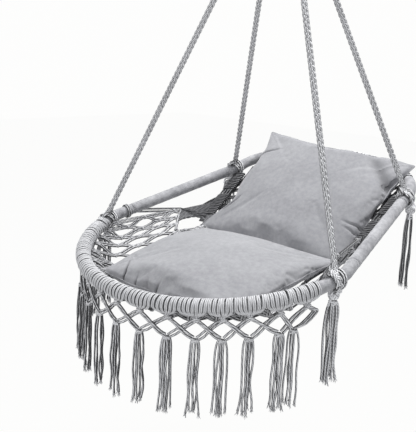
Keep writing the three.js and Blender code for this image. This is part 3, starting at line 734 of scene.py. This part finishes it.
def pair_of_cords(cords, start, end, normal, rng, spread=0.0031, long=None):
    """Two cords side by side, bowed apart between their knots, which draw them lengthways."""
    t = np.linspace(0, 1, 11)
    run = end - start
    sideways = np.cross(normal, unit(run))
    drawn = 0 if long is None else np.outer(0.13 * np.sin(2 * pi * t), run - long * (run @ long))
    for pair in (-1, 1):
        bow = (0.85 + rng.uniform(0.0, 0.45) * np.sin(pi * t)) * spread * pair
        line = np.outer(1 - t, start) + np.outer(t, end) + np.outer(bow, sideways) - drawn
        line = line + np.outer(rng.normal(0, 0.0006) * np.sin(pi * t), normal)
        cords.add(line, thin, touching=1, across_way=sideways)


def inside(s, r, outline):
    """Whether a place on the net lies in a hole, which both sides have alike."""
    s, odd = abs(s), False
    for (s1, r1), (s2, r2) in zip(outline, outline[1:] + outline[:1]):
        if (r1 > r) != (r2 > r) and s < (s2 - s1) * (r - r1) / (r2 - r1) + s1:
            odd = not odd
    return odd


def last_clear(start, end, gap):
    """The last place from a start outside the gap towards an end inside it that is clear."""
    for share in np.linspace(1, 0, 21):
        s, r = (start[k] * (1 - share) + end[k] * share for k in (0, 1))
        if not inside(s, r, gap):
            return s, r


def column_place(column, columns, edges):
    """A column's place across a net. The columns lie closer at the edges."""
    x = 2 * column / columns - 1
    return (1 + edges) * x - edges * x ** 3


def net(surface, columns, rows, gap, edges, rng):
    """A net of diamonds with a gap on each side, narrower towards its two side edges."""
    cords = Cords()
    spots = {}
    for row in range(rows + 1):
        for c in range(row % 2, columns + 1, 2):
            s, r = column_place(c, columns, edges), row / rows
            if 0 < row < rows and 0 < c < columns:
                s, r = s + rng.normal(0, 0.004), r + rng.normal(0, 0.006)
            spots[c, row] = surface(s, r), surface_normal(surface, s, r), (s, r), inside(s, r, gap)
    for (c, row), (start, start_normal, place, lost) in spots.items():
        for other in [(c + 1, row + 1), (c - 1, row + 1)] + [(c, row + 2)] * (c in (0, columns)):
            end, end_normal, end_place, end_lost = spots.get(other, (None, None, None, True))
            if not (lost or end_lost):
                long = lengthways(surface, (place[0] + end_place[0]) / 2, (place[1] + end_place[1]) / 2)
                pair_of_cords(cords, start, end, unit(start_normal + end_normal), rng, long=long)
            elif end is not None and not lost:
                pair_of_cords(cords, start, surface(*last_clear(place, end_place, gap)), start_normal, rng)
            elif not end_lost:
                pair_of_cords(cords, end, surface(*last_clear(end_place, place, gap)), end_normal, rng)
    for (c, row), (point, normal, place, lost) in spots.items():
        if 0 < row < rows and not lost:
            knot(cords, point, lengthways(surface, *place), normal, net_knot, rng)
    return cords


def from_hitches(cords, surface, columns, row, edges, rng):
    """Each first knot of the middle part draws in the cords of the nearest few hitches."""
    for c in range(1, columns, 2):
        s = column_place(c, columns, edges)
        for fan in (-0.4, 0.4) if abs(s) < 0.65 else ():
            start = surface(column_place(c + fan, columns, edges), round(row))
            pair_of_cords(cords, start, surface(s, row), surface_normal(surface, s, row), rng)


seat_columns, seat_rows, seat_edges = 36, 6, 0.3
# The oval hole beside each leaf, as places on the seat net.
hole = [(0.802, 0.652), (0.845, 0.672), (0.92, 0.698), (0.905, 0.775), (0.873, 0.86), (0.797, 0.9),
        (0.768, 0.895), (0.735, 0.838), (0.742, 0.755), (0.765, 0.695)]
# Nearer to the corner than the first bar, the net has no diamonds.
past_first_bar = [hole[k] for k in (0, 9, 8, 7, 6)]
past_first_bar = [(1.1, 0.745)] + past_first_bar + [(0.86, 0.96), (0.88, 1.1), (1.1, 1.1)]
rim_places = np.linspace(-rim_half, rim_half, 80)
rng = np.random.default_rng(11)
seat = net(seat_surface, seat_columns, seat_rows, past_first_bar, seat_edges, rng)
from_hitches(seat, seat_surface, seat_columns, 1 / seat_rows, seat_edges, rng)
seat.add([seat_surface(s, 1) for s in rim_places], thin)


# Rear corners of the seat
# At each rear corner the net's cords are packed side by side: into a leaf beside an oval
# hole with a twisted rim, and into a bar that is wrapped with more cord and ends at the
# rope's hitch. At the left front, a few turns and pairs hold the net's edge to the tube.
leaf_cord, stay_cord, rim_cord, bar_cord, wrap_cord = 0.0025, 0.0028, 0.0026, 0.0024, 0.0027
leaf_tip_place, bar_foot_place, leaf_flare, stay_lift = (1, 0.745), (0.8, 0.92), 0.012, 0.003
bar_half, wrap_half, wrap_deep, wrap_lean = 0.015, 0.0175, 0.0045, 0.004


def on_net(side, place):
    """A place on the seat net, taken alike on both sides."""
    return seat_surface(side * place[0], place[1])


def towards(start, end, share):
    return start * (1 - share) + end * share


packed = Cords()
for side in (-1, 1):
    leaf_tip, bar_foot = on_net(side, leaf_tip_place), on_net(side, bar_foot_place)
    foot_drop = 0.016 if side < 0 else 0.002
    hitch_foot = side_point(side, back_hitch) - x_way * side * hitch_reach - up * foot_drop
    bar_line = smooth_line([towards(bar_foot, hitch_foot, share) for share in (-0.08, 0.3, 0.65, 1.04)], 14)
    leaf_end = towards(bar_foot, hitch_foot, 0.33) + x_way * side * leaf_flare
    outer_side = np.array([towards(leaf_tip, leaf_end, share) for share in (0, 0.36, 0.7, 1)])
    inner_side = np.array([on_net(side, place) for place in ((0.9, 0.69), hole[3], hole[4], bar_foot_place)])
    for share in np.linspace(0, 1, 12):
        line = smooth_line(towards(outer_side, inner_side, share), 8)
        packed.add(line, leaf_cord, touching=1, across_way=leaf_end - bar_foot)
    stay = [leaf_tip, towards(leaf_tip, bar_foot, 0.5) + up * 0.004, bar_foot + up * stay_lift]
    packed.add(smooth_line(stay, 10) + up * stay_lift, stay_cord, touching=1, across_way=up)
    first_bar = smooth_line([leaf_tip, on_net(side, hole[2]), on_net(side, hole[0])], 12)
    for lane in range(3):
        turned = np.linspace(0, 3 * pi, len(first_bar)) + lane * 2.1
        twisted = first_bar + oval(turned, 0.003, 0.002, y_way, up)
        # On the right this bar gets the packed cords' darker cotton: painted shade.
        (seat if side < 0 else packed).add(twisted, thin, touching=1)
    rim = smooth_line([on_net(side, place) for place in hole[2:] + hole[:1]], 8)
    for lane in (0, pi):
        turned = np.linspace(0, 16 * pi, len(rim)) + lane
        packed.add(rim + oval(turned, 0.0018, 0.0022, x_way, up), rim_cord)
    bar_way = unit(bar_line[-1] - bar_line[0])
    wide = unit(x_way - bar_way * bar_way[0])
    t = np.linspace(0, 1, len(bar_line))
    pull = np.exp(-((t - 0.6) / 0.05) ** 2)
    for lane in range(9):
        place = lane / 4 - 1
        bunch = round((place + 1) * 1.5) / 1.5 - 1
        line = bar_line + np.outer(towards(place, bunch, pull) * bar_half, wide)
        packed.add(line, bar_cord, touching=1, across_way=wide)
    for at in [*np.arange(0.14, 0.54, 0.032), *np.arange(0.68, 1.0, 0.032)]:
        angle = full_turn(22)
        loop = oval(angle, wrap_half, wrap_deep, wide, np.cross(bar_way, wide))
        loop = between(bar_line, t, at) + loop + np.outer(wrap_lean * np.cos(angle), bar_way)
        packed.add(loop, wrap_cord, closed=True, touching=1, across_way=bar_way)

first_turn, turn_pitch, pair_spread = 0.030, 0.0058, 0.0045
tube_way = unit(side_point(-1, 0.1) - side_point(-1, 0))
inward = unit(np.cross(frame_normal, tube_way))
for turn_number in range(2):
    angle = full_turn(26)
    loop = side_point(-1, first_turn + turn_pitch * turn_number) + np.outer(0.002 * np.sin(angle), tube_way)
    loop = loop + oval(angle, front_radius, front_radius, inward, frame_normal)
    seat.add(loop, wrap_cord, closed=True, touching=1, across_way=tube_way)
edge_start = side_point(-1, first_turn + 0.003) + inward * 0.018 - frame_normal * 0.004
for place in (leaf_tip_place, (0.96, 0)):
    pair_of_cords(seat, edge_start, on_net(-1, place), inward, rng, pair_spread)
seat.piece("seat_net_cords", seat_cotton, "chair", ["seat_net"])
# The packed rear corner cords get the darker cotton too: painted shade, as they lie in shadow.
packed.piece("rear_corner_cords", shaded_cotton, "chair")

back_columns, back_rows, back_edges = 26, 8, 0.2
back = net(back_surface, back_columns, back_rows, [], back_edges, rng)
from_hitches(back, back_surface, back_columns, 1 - 1 / back_rows, back_edges, rng)
back.add([back_surface(s, 0) for s in rim_places], thin)
back.piece("back_net_cords", shaded_cotton, "chair", ["back_net"])


# Lace and tassels under the front edge
# From each knot under the hitches a pair of cords runs down to either side, crosses its
# neighbour's halfway, and ends in the knot of the next tassel. A tassel is a few cords
# bound at the top and frayed at their lower ends.
net_cotton = cord_cotton("net_cotton", (0.84, 0.84, 0.855), (0.14, 0.14, 0.145), 0.018, 0.0009)
lace_row, lace_droop, lace_rise, lace_lean, lace_cord = 0.027, 0.008, 0.0025, radians(22), 0.005
lace_crossing, lace_wander = 0.0034, 0.0006


def lace_point(degrees, rows):
    """A place on the lace, under a place on the arc and so many rows down."""
    _, outward = tube_axes(arc_point, degrees, frame_normal)
    reach = hitch_reach + fit + lace_cord / 2
    point = arc_point(degrees) + outward * reach * sin(lace_lean) - frame_normal * reach * cos(lace_lean)
    point[2] -= rows * (lace_row + lace_droop * max(-degrees / 90, 0)) - lace_rise
    return point


def outward_at(degrees):
    """The level way out from the seat at a place on the arc."""
    along, _ = tube_axes(arc_point, degrees, frame_normal)
    return unit(np.cross(along, up))


def lace_pair(cords, apex, foot, out, way, rng):
    """An inner cord, and an outer one that sags and comes in to the knot from the side."""
    run = foot - apex
    flat_way = np.cross(out, unit(run))
    drop = np.array((0, 0, run[2]))
    level = run - drop
    lift = out * lace_crossing * way
    inner = [apex + unit(level) * 0.002, apex + level * 0.27 + drop * 0.2 + lift * 0.5,
             apex + level * 0.53 + drop * 0.47 + lift, apex + level * 0.8 + drop * 0.77 + lift * 0.5,
             foot - unit(level) * 0.003 + up * 0.004]
    outer = [apex - unit(level) * 0.002 - up * 0.003, apex + level * 0.205 + drop * 0.27 + lift * 0.5,
             apex + level * 0.46 + drop * 0.555 + lift, apex + level * 0.7 + drop * 0.86 + lift * 0.5,
             foot - unit(level) * 0.0085 - up * 0.001]
    for line in (inner, outer):
        wander = rng.normal(0, lace_wander, (5, 3))
        wander[[0, -1]] = 0
        cords.add(smooth_line(line + wander), thin, sides=10, touching=1, across_way=flat_way)


lace_ends, apex_drop, apex_knot, upper_knot = {-1: -78.3, 1: 71.5}, 0.007, 0.0078, 0.0058
rib_spacing, rib_half, rib_bend, rib_cord, end_spacing = 1.45, 0.0022, 0.0018, 0.0026, 0.0036
lace = Cords()
rng = np.random.default_rng(5)
for k, here in enumerate(apex_angles):
    out = outward_at(here)
    sideways = unit(np.cross(up, out))
    apex = lace_point(here, 0) - up * apex_drop
    knot(lace, apex, up, out, apex_knot, rng)
    knot(lace, apex + up * 0.003, sideways, out, upper_knot, rng)
    for fan in range(-3, 3):
        place = here + (fan + 0.5) * rib_spacing
        start = lace_point(place, 0) + up * 0.006 - outward_at(place) * 0.002
        for pair in (-1, 1):
            bend = towards(start, apex, 0.55) + up * 0.003 + sideways * rib_bend * pair
            rib = smooth_line([start + sideways * rib_half * pair, bend, apex + up * 0.001], 5)
            lace.add(rib, rib_cord, touching=1, across_way=sideways)
    for way in (-1, 1):
        if 0 <= k + way < len(tassel_angles):
            next_tassel = tassel_angles[k + way]
            lace_pair(lace, apex, lace_point(next_tassel, 2), unit(out + outward_at(next_tassel)), way, rng)
        else:
            foot, bend = lace_point(tassel_angles[k], 2), lace_point(lace_ends[way], 1)
            for lane in range(4):
                step = sideways * (lane - 1.5) * end_spacing + out * 0.0018 * (lane % 2)
                line = [apex + step * 0.4, (apex + bend) / 2 + step + sideways * way * 0.004, bend + step,
                        (bend + foot) / 2 + step - up * 0.006, foot + up * 0.002]
                lace.add(smooth_line(line), thin, touching=1, across_way=sideways)
lace.piece("lace_cords", net_cotton, "chair", ["front_lace"])


def hanging_strand(cords, top, start, spread, length, radius, wide, rng):
    """One cord of a tassel: it leaves the binding, hangs in slow waves and frays at its end."""
    t = np.linspace(0, 1, 22)
    settle = 1 - np.exp(-t * 11)
    bow = 1 + rng.uniform(-0.35, 0.25) * np.sin(pi * t)
    level = np.outer(1 - settle, start) + np.outer(settle * bow, spread)
    for way in (x_way, y_way):
        wave = rng.uniform(0.0009, 0.0030) * np.sin(t * rng.uniform(5, 14) + rng.uniform(0, 6))
        level = level + np.outer(wave * t ** 0.5, way)
    line = top + level - np.outer(t * length, up)
    flare = 1 + 0.3 * np.clip((t - 0.965) / 0.035, 0, 1)
    cords.add(line, radius * flare, touching=1, across_way=wide)
    tip, way = line[-1], unit(line[-1] - line[-3])
    for hair in range(8):
        turned = 2 * pi * (hair + rng.uniform(0, 0.8)) / 8
        flare = np.array((cos(turned), sin(turned), 0)) * radius
        drop = rng.uniform(0.006, 0.012)
        brush = [tip - way * 0.004 + flare * 0.35, tip + way * drop * 0.4 + flare * 0.8,
                 tip + way * drop + flare * rng.uniform(1.1, 2.0)]
        cords.add(np.array(brush), [radius * 0.42, radius * 0.34, radius * 0.12], sides=4)


def tassel(cords, top, length, strands, reach, radius, out, binding, rng):
    """A flat binding of two turns, and cords that spread from it at once."""
    wide = unit(np.cross(up, out))
    for k in range(2):
        angle = full_turn(22)
        lean = 0.0012 * np.cos(angle) * (1 if k else -1)
        loop = top - up * (0.002 + k * radius * 1.7) + oval(angle, binding, binding * 0.66, wide, out)
        cords.add(loop + np.outer(lean, up), radius * 0.95, closed=True)
    for k in range(strands):
        share = 2 * k / (strands - 1) - 1 + rng.uniform(-0.08, 0.08)
        outer = abs(share) > 0.85
        depth = (rng.uniform(-0.3, 0.3) if outer else (0.5 if k % 2 else -0.5)) * reach
        start = wide * binding * 0.8 * share + out * depth * 0.5
        far = reach * (rng.uniform(0.9, 1.2) if outer else rng.uniform(0.65, 0.9))
        spread = wide * far * share + out * depth
        hanging_strand(cords, top, start, spread, length * rng.uniform(0.91, 1.0), radius, wide, rng)


tassel_length, tassel_reach, tassel_cord, tassel_binding = 0.185, 0.0135, 0.0025, 0.0085
for k, here in enumerate(tassel_angles):
    number = f"{k + 1:02d}"
    strands = Cords()
    tassel(strands, lace_point(here, 2), tassel_length, 6 + k % 2, tassel_reach, tassel_cord,
           outward_at(here), tassel_binding, rng)
    strands.piece(f"fringe_tassel_{number}", net_cotton, "chair", [f"tassel_{number}"])


# Rope hitches and tails at the four corners
# Each plait runs down over the outer side of the frame with turns of cord crossing beside
# it, is tied off in a knot under the tube, and its cords hang down loose as a thick tail.
turn_radius, turn_spacing, turn_lean, turn_cord = 0.0190, 0.0042, 0.0080, 0.0031
knot_drop, knot_radius, knot_cord, knot_tilts, knot_waves = 0.033, 0.0105, 0.0036, (0.9, 0.8, 1.1), (0.05, 2)
second_knot_radius, second_knot_cord, second_knot_aside, loose_cord = 0.0070, 0.0030, 0.0135, 0.0028
over_bend, over_start, over_radius = (65, 40, 10, -20, -50), 0.034, 0.0215
over_width, over_depth, over_cord = 0.0058, 0.0022, 0.0027
tail_drop, tail_length, tail_reach, tail_cord, tail_binding = 0.0152, 0.2, 0.0165, 0.0030, 0.0095
rng = np.random.default_rng(3)
for corner, front, side in corner_names:
    centre = hitch_centre(front, side)
    nearby = arc_point(side * (front_hitch - 6)) if front else side_point(side, side_run - stub)
    along = unit(centre - nearby)
    outward = unit(np.cross(along, frame_normal))
    lashing = Cords()
    for k in range(4):
        angle, way = full_turn(40), 1 if k % 2 else -1
        shift = (k - 0.4) * turn_spacing + turn_lean * np.sin(angle + 0.5 * way) * way
        r = turn_radius + 0.0030 * (k % 2) + 0.0012 * np.sin(angle * 2 + k)
        loop = centre + np.outer(shift, along) + oval(angle, r, r, outward, frame_normal)
        lashing.add(loop, turn_cord, closed=True, touching=1, across_way=along)
    lean = 0 if front else radians(38)
    knot_centre = centre + np.array((side * knot_drop * sin(lean), 0, -knot_drop * cos(lean)))
    over = [centre + unit(crown - centre) * over_start - along * 0.002]
    for degrees in over_bend:
        out, lift = cos(radians(degrees)), sin(radians(degrees))
        over.append(centre - along * 0.0055 + over_radius * (outward * side * out + frame_normal * lift))
    over.append(knot_centre + up * 0.004)
    plait(lashing, smooth_line(over), along, over_width, over_depth, over_cord, 1.2)
    bight = [(0.015, 0.008, 0), (0.023, 0.021, 0.004), (0.026, 0.011, 0.009), (0.017, 0.001, 0)]
    bight = [centre + frame_normal * high - along * before - outward * side * inner
             for high, before, inner in bight]
    for lane in (-0.0025, 0.0025):
        lashing.add(smooth_line(bight, 8) + outward * lane, over_cord, touching=1, across_way=outward)
    second_centre = knot_centre + along * second_knot_aside + up * 0.005
    for middle, size, cord, turned in (
            (knot_centre, knot_radius, knot_cord, side),
            (second_centre, second_knot_radius, second_knot_cord, side + 1)):
        lifts = (-0.6 * size, 0, 0.6 * size)
        wound_ball(lashing, middle, size, lifts, cord, knot_tilts, turned, knot_waves, 26)
    loose_end = [knot_centre - up * 0.004, knot_centre - along * 0.014 - up * 0.007 + outward * side * 0.004,
                 knot_centre - along * 0.019 - up * 0.020 + outward * side * 0.003]
    lashing.add(smooth_line(loose_end, 8), loose_cord)
    lashing.piece(f"rope_lashing_{corner}", rope_cotton, "chair", [f"rope_hitch_{corner}"], "plaited_rope")
    strands = Cords()
    tassel(strands, knot_centre - up * tail_drop, tail_length, 8, tail_reach, tail_cord,
           unit(np.array((side, -0.6 if front else 0.6, 0))), tail_binding, rng)
    strands.piece(f"tail_strands_{corner}", rope_cotton, "chair", [f"rope_tail_{corner}"])


# Cushions
# Two stuffed pillows of short plush with a piped seam all round: one on the seat net, one
# leaning on the back net. Each is two panels sewn together at the edge and filled, so it
# is full in the middle, puckered along the seam, and pointed at its corners.
seat_plush = plush_cloth("seat_plush", (0.41, 0.41, 0.425), (0.28, 0.28, 0.295), 0.0003)
# The back pillow's plush is the seat's, painted darker: painted shade.
back_plush = plush_cloth("back_plush", (0.355, 0.355, 0.37), (0.245, 0.245, 0.26), 0.0003)
pillow_columns, pillow_rows, finer_steps = 64, 52, 4
filling_steps, calming_passes, piping_radius = 22, 160, 0.0018
crease_half_sizes = (0.245, 0.195)


def two_panels(columns, rows):
    """Which vertex each place of the front and the back panel has; they share their edge."""
    front = np.arange((columns + 1) * (rows + 1)).reshape(columns + 1, rows + 1)
    back = front.copy()
    back[1:-1, 1:-1] = front.size + np.arange((columns - 1) * (rows - 1)).reshape(columns - 1, rows - 1)
    return front, back


def panel_faces(front, back):
    """The faces of both panels, each turned outwards."""
    quads = []
    for panel, way in ((front, 1), (back, -1)):
        corners = np.stack([panel[:-1, :-1], panel[1:, :-1], panel[1:, 1:], panel[:-1, 1:]], -1)
        quads += corners.reshape(-1, 4)[:, ::way].tolist()
    return quads


def filled(width, depth, volume):
    """The two panels of a pillow once it is filled, as grids of places."""
    x = np.linspace(-1, 1, pillow_columns + 1)[:, None] + np.zeros(pillow_rows + 1)
    y = np.linspace(-1, 1, pillow_rows + 1)[None, :] + np.zeros((pillow_columns + 1, 1))
    dome = np.sqrt(np.clip((1 - x * x) * (1 - y * y), 0, 1))
    front, back = two_panels(pillow_columns, pillow_rows)
    places = np.zeros((back.max() + 1, 3))
    for panel, side in ((front, 1), (back, -1)):
        lift = side * (0.003 + 0.02 * dome) * (dome > 0)
        places[panel] = np.stack([x * width / 2, y * depth / 2, lift], -1)
    mesh = bpy.data.meshes.new("filling")
    mesh.from_pydata(places.tolist(), [], panel_faces(front, back))
    blown = bpy.data.objects.new("filling", mesh)
    scene.collection.objects.link(blown)
    cloth = blown.modifiers.new("cloth", "CLOTH")
    plush = {"quality": 6, "mass": 0.25, "tension_stiffness": 80, "compression_stiffness": 80,
             "shear_stiffness": 40, "bending_stiffness": 1, "air_damping": 3}
    filling = {"use_pressure": True, "uniform_pressure_force": 3, "use_pressure_volume": True,
               "target_volume": volume, "pressure_factor": 1}
    for setting, value in {**plush, **filling}.items():
        setattr(cloth.settings, setting, value)
    cloth.settings.effector_weights.gravity = 0
    cloth.point_cache.frame_end = filling_steps
    for step in range(1, filling_steps + 1):
        scene.frame_set(step)
    done = blown.evaluated_get(bpy.context.evaluated_depsgraph_get()).to_mesh()
    flat = np.empty(len(done.vertices) * 3)
    done.vertices.foreach_get("co", flat)
    places = flat.reshape(-1, 3)
    bpy.data.objects.remove(blown)
    scene.frame_set(1)
    return [places[front], places[back]]


def finer(grid):
    """The same surface with places between the given ones, on smooth curves through them."""
    for axis in (0, 1):
        rows = np.swapaxes(grid, 0, axis)
        at = np.arange((len(rows) - 1) * finer_steps + 1) / finer_steps
        i = np.minimum(at.astype(int), len(rows) - 2)
        t = (at - i)[:, None, None]
        p = np.concatenate([2 * rows[:1] - rows[1:2], rows, 2 * rows[-1:] - rows[-2:-1]])
        a, b, c, d = p[i], p[i + 1], p[i + 2], p[i + 3]
        rows = b + 0.5 * t * (c - a + t * (2 * a - 5 * b + 4 * c - d + t * (3 * b - a - 3 * c + d)))
        grid = np.swapaxes(rows, 0, axis)
    return grid


def pressed_in(x, y, line, width, depth):
    """How deep a crease along a line is and how dark its painted shade, with the low ridges beside it."""
    line = np.array(line) * crease_half_sizes
    away = np.full(x.shape, 1.0)
    share = np.zeros(x.shape)
    for k, (start, end) in enumerate(zip(line[:-1], line[1:])):
        run = end - start
        t = np.clip(((x - start[0]) * run[0] + (y - start[1]) * run[1]) / (run @ run), 0, 1)
        here = np.hypot(x - start[0] - t * run[0], y - start[1] - t * run[1])
        share = np.where(here < away, (k + t) / (len(line) - 1), share)
        away = np.minimum(away, here)
    fading = 1 - share ** 2
    fold = np.exp(-(away / width) ** 2)
    ridges = 0.08 * np.exp(-((away - 3 * width) / (2 * width)) ** 2)
    return depth * fading * (fold - ridges), fold * fading


def calmed(grid):
    """The puckers of the low edge smoothed out, where the pillow's weight rests on it."""
    calm = grid.copy()
    for step in range(calming_passes):
        calm[1:-1] = (calm[:-2] + 2 * calm[1:-1] + calm[2:]) / 4
    share = np.clip((-grid[..., 1:2] / np.abs(grid[..., 1]).max() - 0.55) / 0.35, 0, 1)
    return grid * (1 - share) + calm * share


def pillow(name, plush, width, depth, top, bottom, rotation, centre, shape, creases):
    """A pillow of a given size, so thick above and below its seam, with its piping."""
    panels = [calmed(finer(panel)) for panel in filled(width, depth, width * depth * (top + bottom) * 0.5)]
    reach = np.abs(panels[0]).max((0, 1))
    turned = np.array(Euler(rotation).to_matrix())
    front, back = two_panels(pillow_columns * finer_steps, pillow_rows * finer_steps)
    places = np.zeros((back.max() + 1, 3))
    fold_shades = np.zeros(back.max() + 1, np.float32)
    for layer, (panel, index) in enumerate(zip(panels, (front, back))):
        z = panel[..., 2] * (bottom / -panel[..., 2].min() if layer else top / panel[..., 2].max())
        x, y, z = shape(panel[..., 0] / reach[0], panel[..., 1] / reach[1], z)
        local = np.stack([x * width / 2, y * depth / 2, z], -1)
        if not layer:
            slope = np.cross(np.gradient(local, axis=0), np.gradient(local, axis=1))
            slope /= np.linalg.norm(slope, axis=-1, keepdims=True) + 1e-12
            for line, crease_width, crease_depth, dark in creases:
                sunk, fold = pressed_in(panel[..., 0], panel[..., 1], line, crease_width, crease_depth)
                local = local - slope * sunk[..., None]
                # The crease's painted shade, kept on the mesh for the plush to darken.
                fold_shades[index] = np.maximum(fold_shades[index], fold * dark)
        places[index] = local @ turned.T + np.array(centre)
    faces = panel_faces(front, back)
    piece = dressed(name + "_pillow", places, faces, {"fold": fold_shades}, plush, name, [name])
    seam = np.concatenate([front[:-1, 0], front[-1, :-1], front[:0:-1, -1], front[0, :0:-1]])
    line = places[seam][::2]
    line = (np.roll(line, 1, 0) + 2 * line + np.roll(line, -1, 0)) / 4
    piping = Cords()
    piping.add(line, piping_radius, closed=True)
    piping.piece(name + "_piping", plush, name, (), "plush_cushion")


def seat_shape(x, y, z):
    """Pushed forward and down in front by its filling, and lower at the back."""
    left, right = np.clip(-x, 0, 1), np.clip(x, 0, 1)
    front, rear = np.clip((0.15 - y) / 1.15, 0, 1), np.clip(y, 0, 1)
    z = z * (1 - 0.42 * rear ** 1.5) * (1 - 0.24 * right ** 1.5)
    belly = front ** 2 * (1 - x * x)
    corner = left ** 2 * np.clip(-y, 0, 1) ** 2
    edge = 0.088 * np.clip(-y, 0, 1) ** 4 * np.clip(0.3 - x, 0, 1)
    return x - 0.011 * corner, y - (0.281 + 0.113 * x) * belly - edge, z - 0.012 * belly


def back_shape(x, y, z):
    """Drawn in on its left side, with flat ears, and resting broadly on the seat cushion."""
    left, right = np.clip(-x, 0, 1) ** 2, np.clip(x, 0, 1) ** 2
    low, high = np.clip(-y, 0, 1) ** 2, np.clip(y, 0, 1) ** 2
    across_it, up_it = np.clip(1 - y * y, 0, 1), np.clip(1 - x * x, 0, 1)
    ears = np.minimum(np.clip(-x, 0, 1) ** 3 * np.abs(y) ** 3, 0.2)
    tucks = 0.1 * np.exp(-((y + 0.5) / 0.22) ** 2) + 0.01 * np.exp(-((y - 0.55) / 0.22) ** 2)
    new_x = x + left * (0.11 * across_it + tucks + 0.054 * low - 0.017 * high)
    hanging = 0.34 * low ** 1.5
    new_y = y - 0.013 * up_it * high - hanging * up_it - 0.05 * left * low - 0.052 * right * high
    return new_x, new_y, z * (1 - 0.58 * ears) - 0.016 * right * high


# Each crease: its line in shares of the half sizes above, its width, its depth and how dark
# its painted shade is. It fades towards the end of its line.
seat_creases = [
    ([(-0.60, -0.97), (-0.61, -0.89), (-0.66, -0.82), (-0.74, -0.74), (-0.80, -0.66)], 0.0036, 0.007, 1.0),
    ([(-0.40, -1.00), (-0.41, -0.92), (-0.42, -0.88), (-0.44, -0.82)], 0.0038, 0.007, 1.0),
    ([(-0.22, -0.90), (-0.31, -0.83)], 0.0060, 0.004, 0.3),
    ([(-0.11, -1.00), (-0.10, -0.89), (-0.09, -0.86), (-0.07, -0.80)], 0.0038, 0.007, 1.0),
    ([(-0.78, -0.62), (-0.66, -0.68)], 0.0050, 0.003, 0.2),
    ([(0.97, -0.92), (0.87, -0.82), (0.74, -0.74)], 0.0042, 0.005, 0.35),
    ([(0.98, -0.84), (0.90, -0.70), (0.82, -0.58)], 0.0042, 0.005, 0.35)]
pillow("seat_cushion", seat_plush, 0.489, 0.385, 0.059, 0.058, (radians(9.2), 0, radians(-0.4)),
       (-0.0016, -0.1617, -1.206), seat_shape, seat_creases)
back_creases = [
    ([(-0.97, 0.46), (-0.87, 0.51), (-0.74, 0.57), (-0.62, 0.60)], 0.0040, 0.007, 0.4),
    ([(0.98, 0.38), (0.92, 0.46), (0.82, 0.58), (0.7, 0.71), (0.56, 0.86), (0.46, 0.98)], 0.019, 0.017, 0.6),
    ([(-0.95, -0.70), (-0.90, -0.60), (-0.84, -0.50), (-0.76, -0.42)], 0.0040, 0.008, 0.5),
    ([(0.98, -0.45), (0.87, -0.45), (0.76, -0.44)], 0.0035, 0.006, 0.35),
    ([(0.98, -0.57), (0.91, -0.54), (0.80, -0.51)], 0.0035, 0.006, 0.35)]
pillow("back_cushion", back_plush, 0.5186, 0.404, 0.0496, 0.0431, (radians(39.7), radians(2.5), 0),
       (0.0016, 0.1961, -1.0411), back_shape, back_creases)
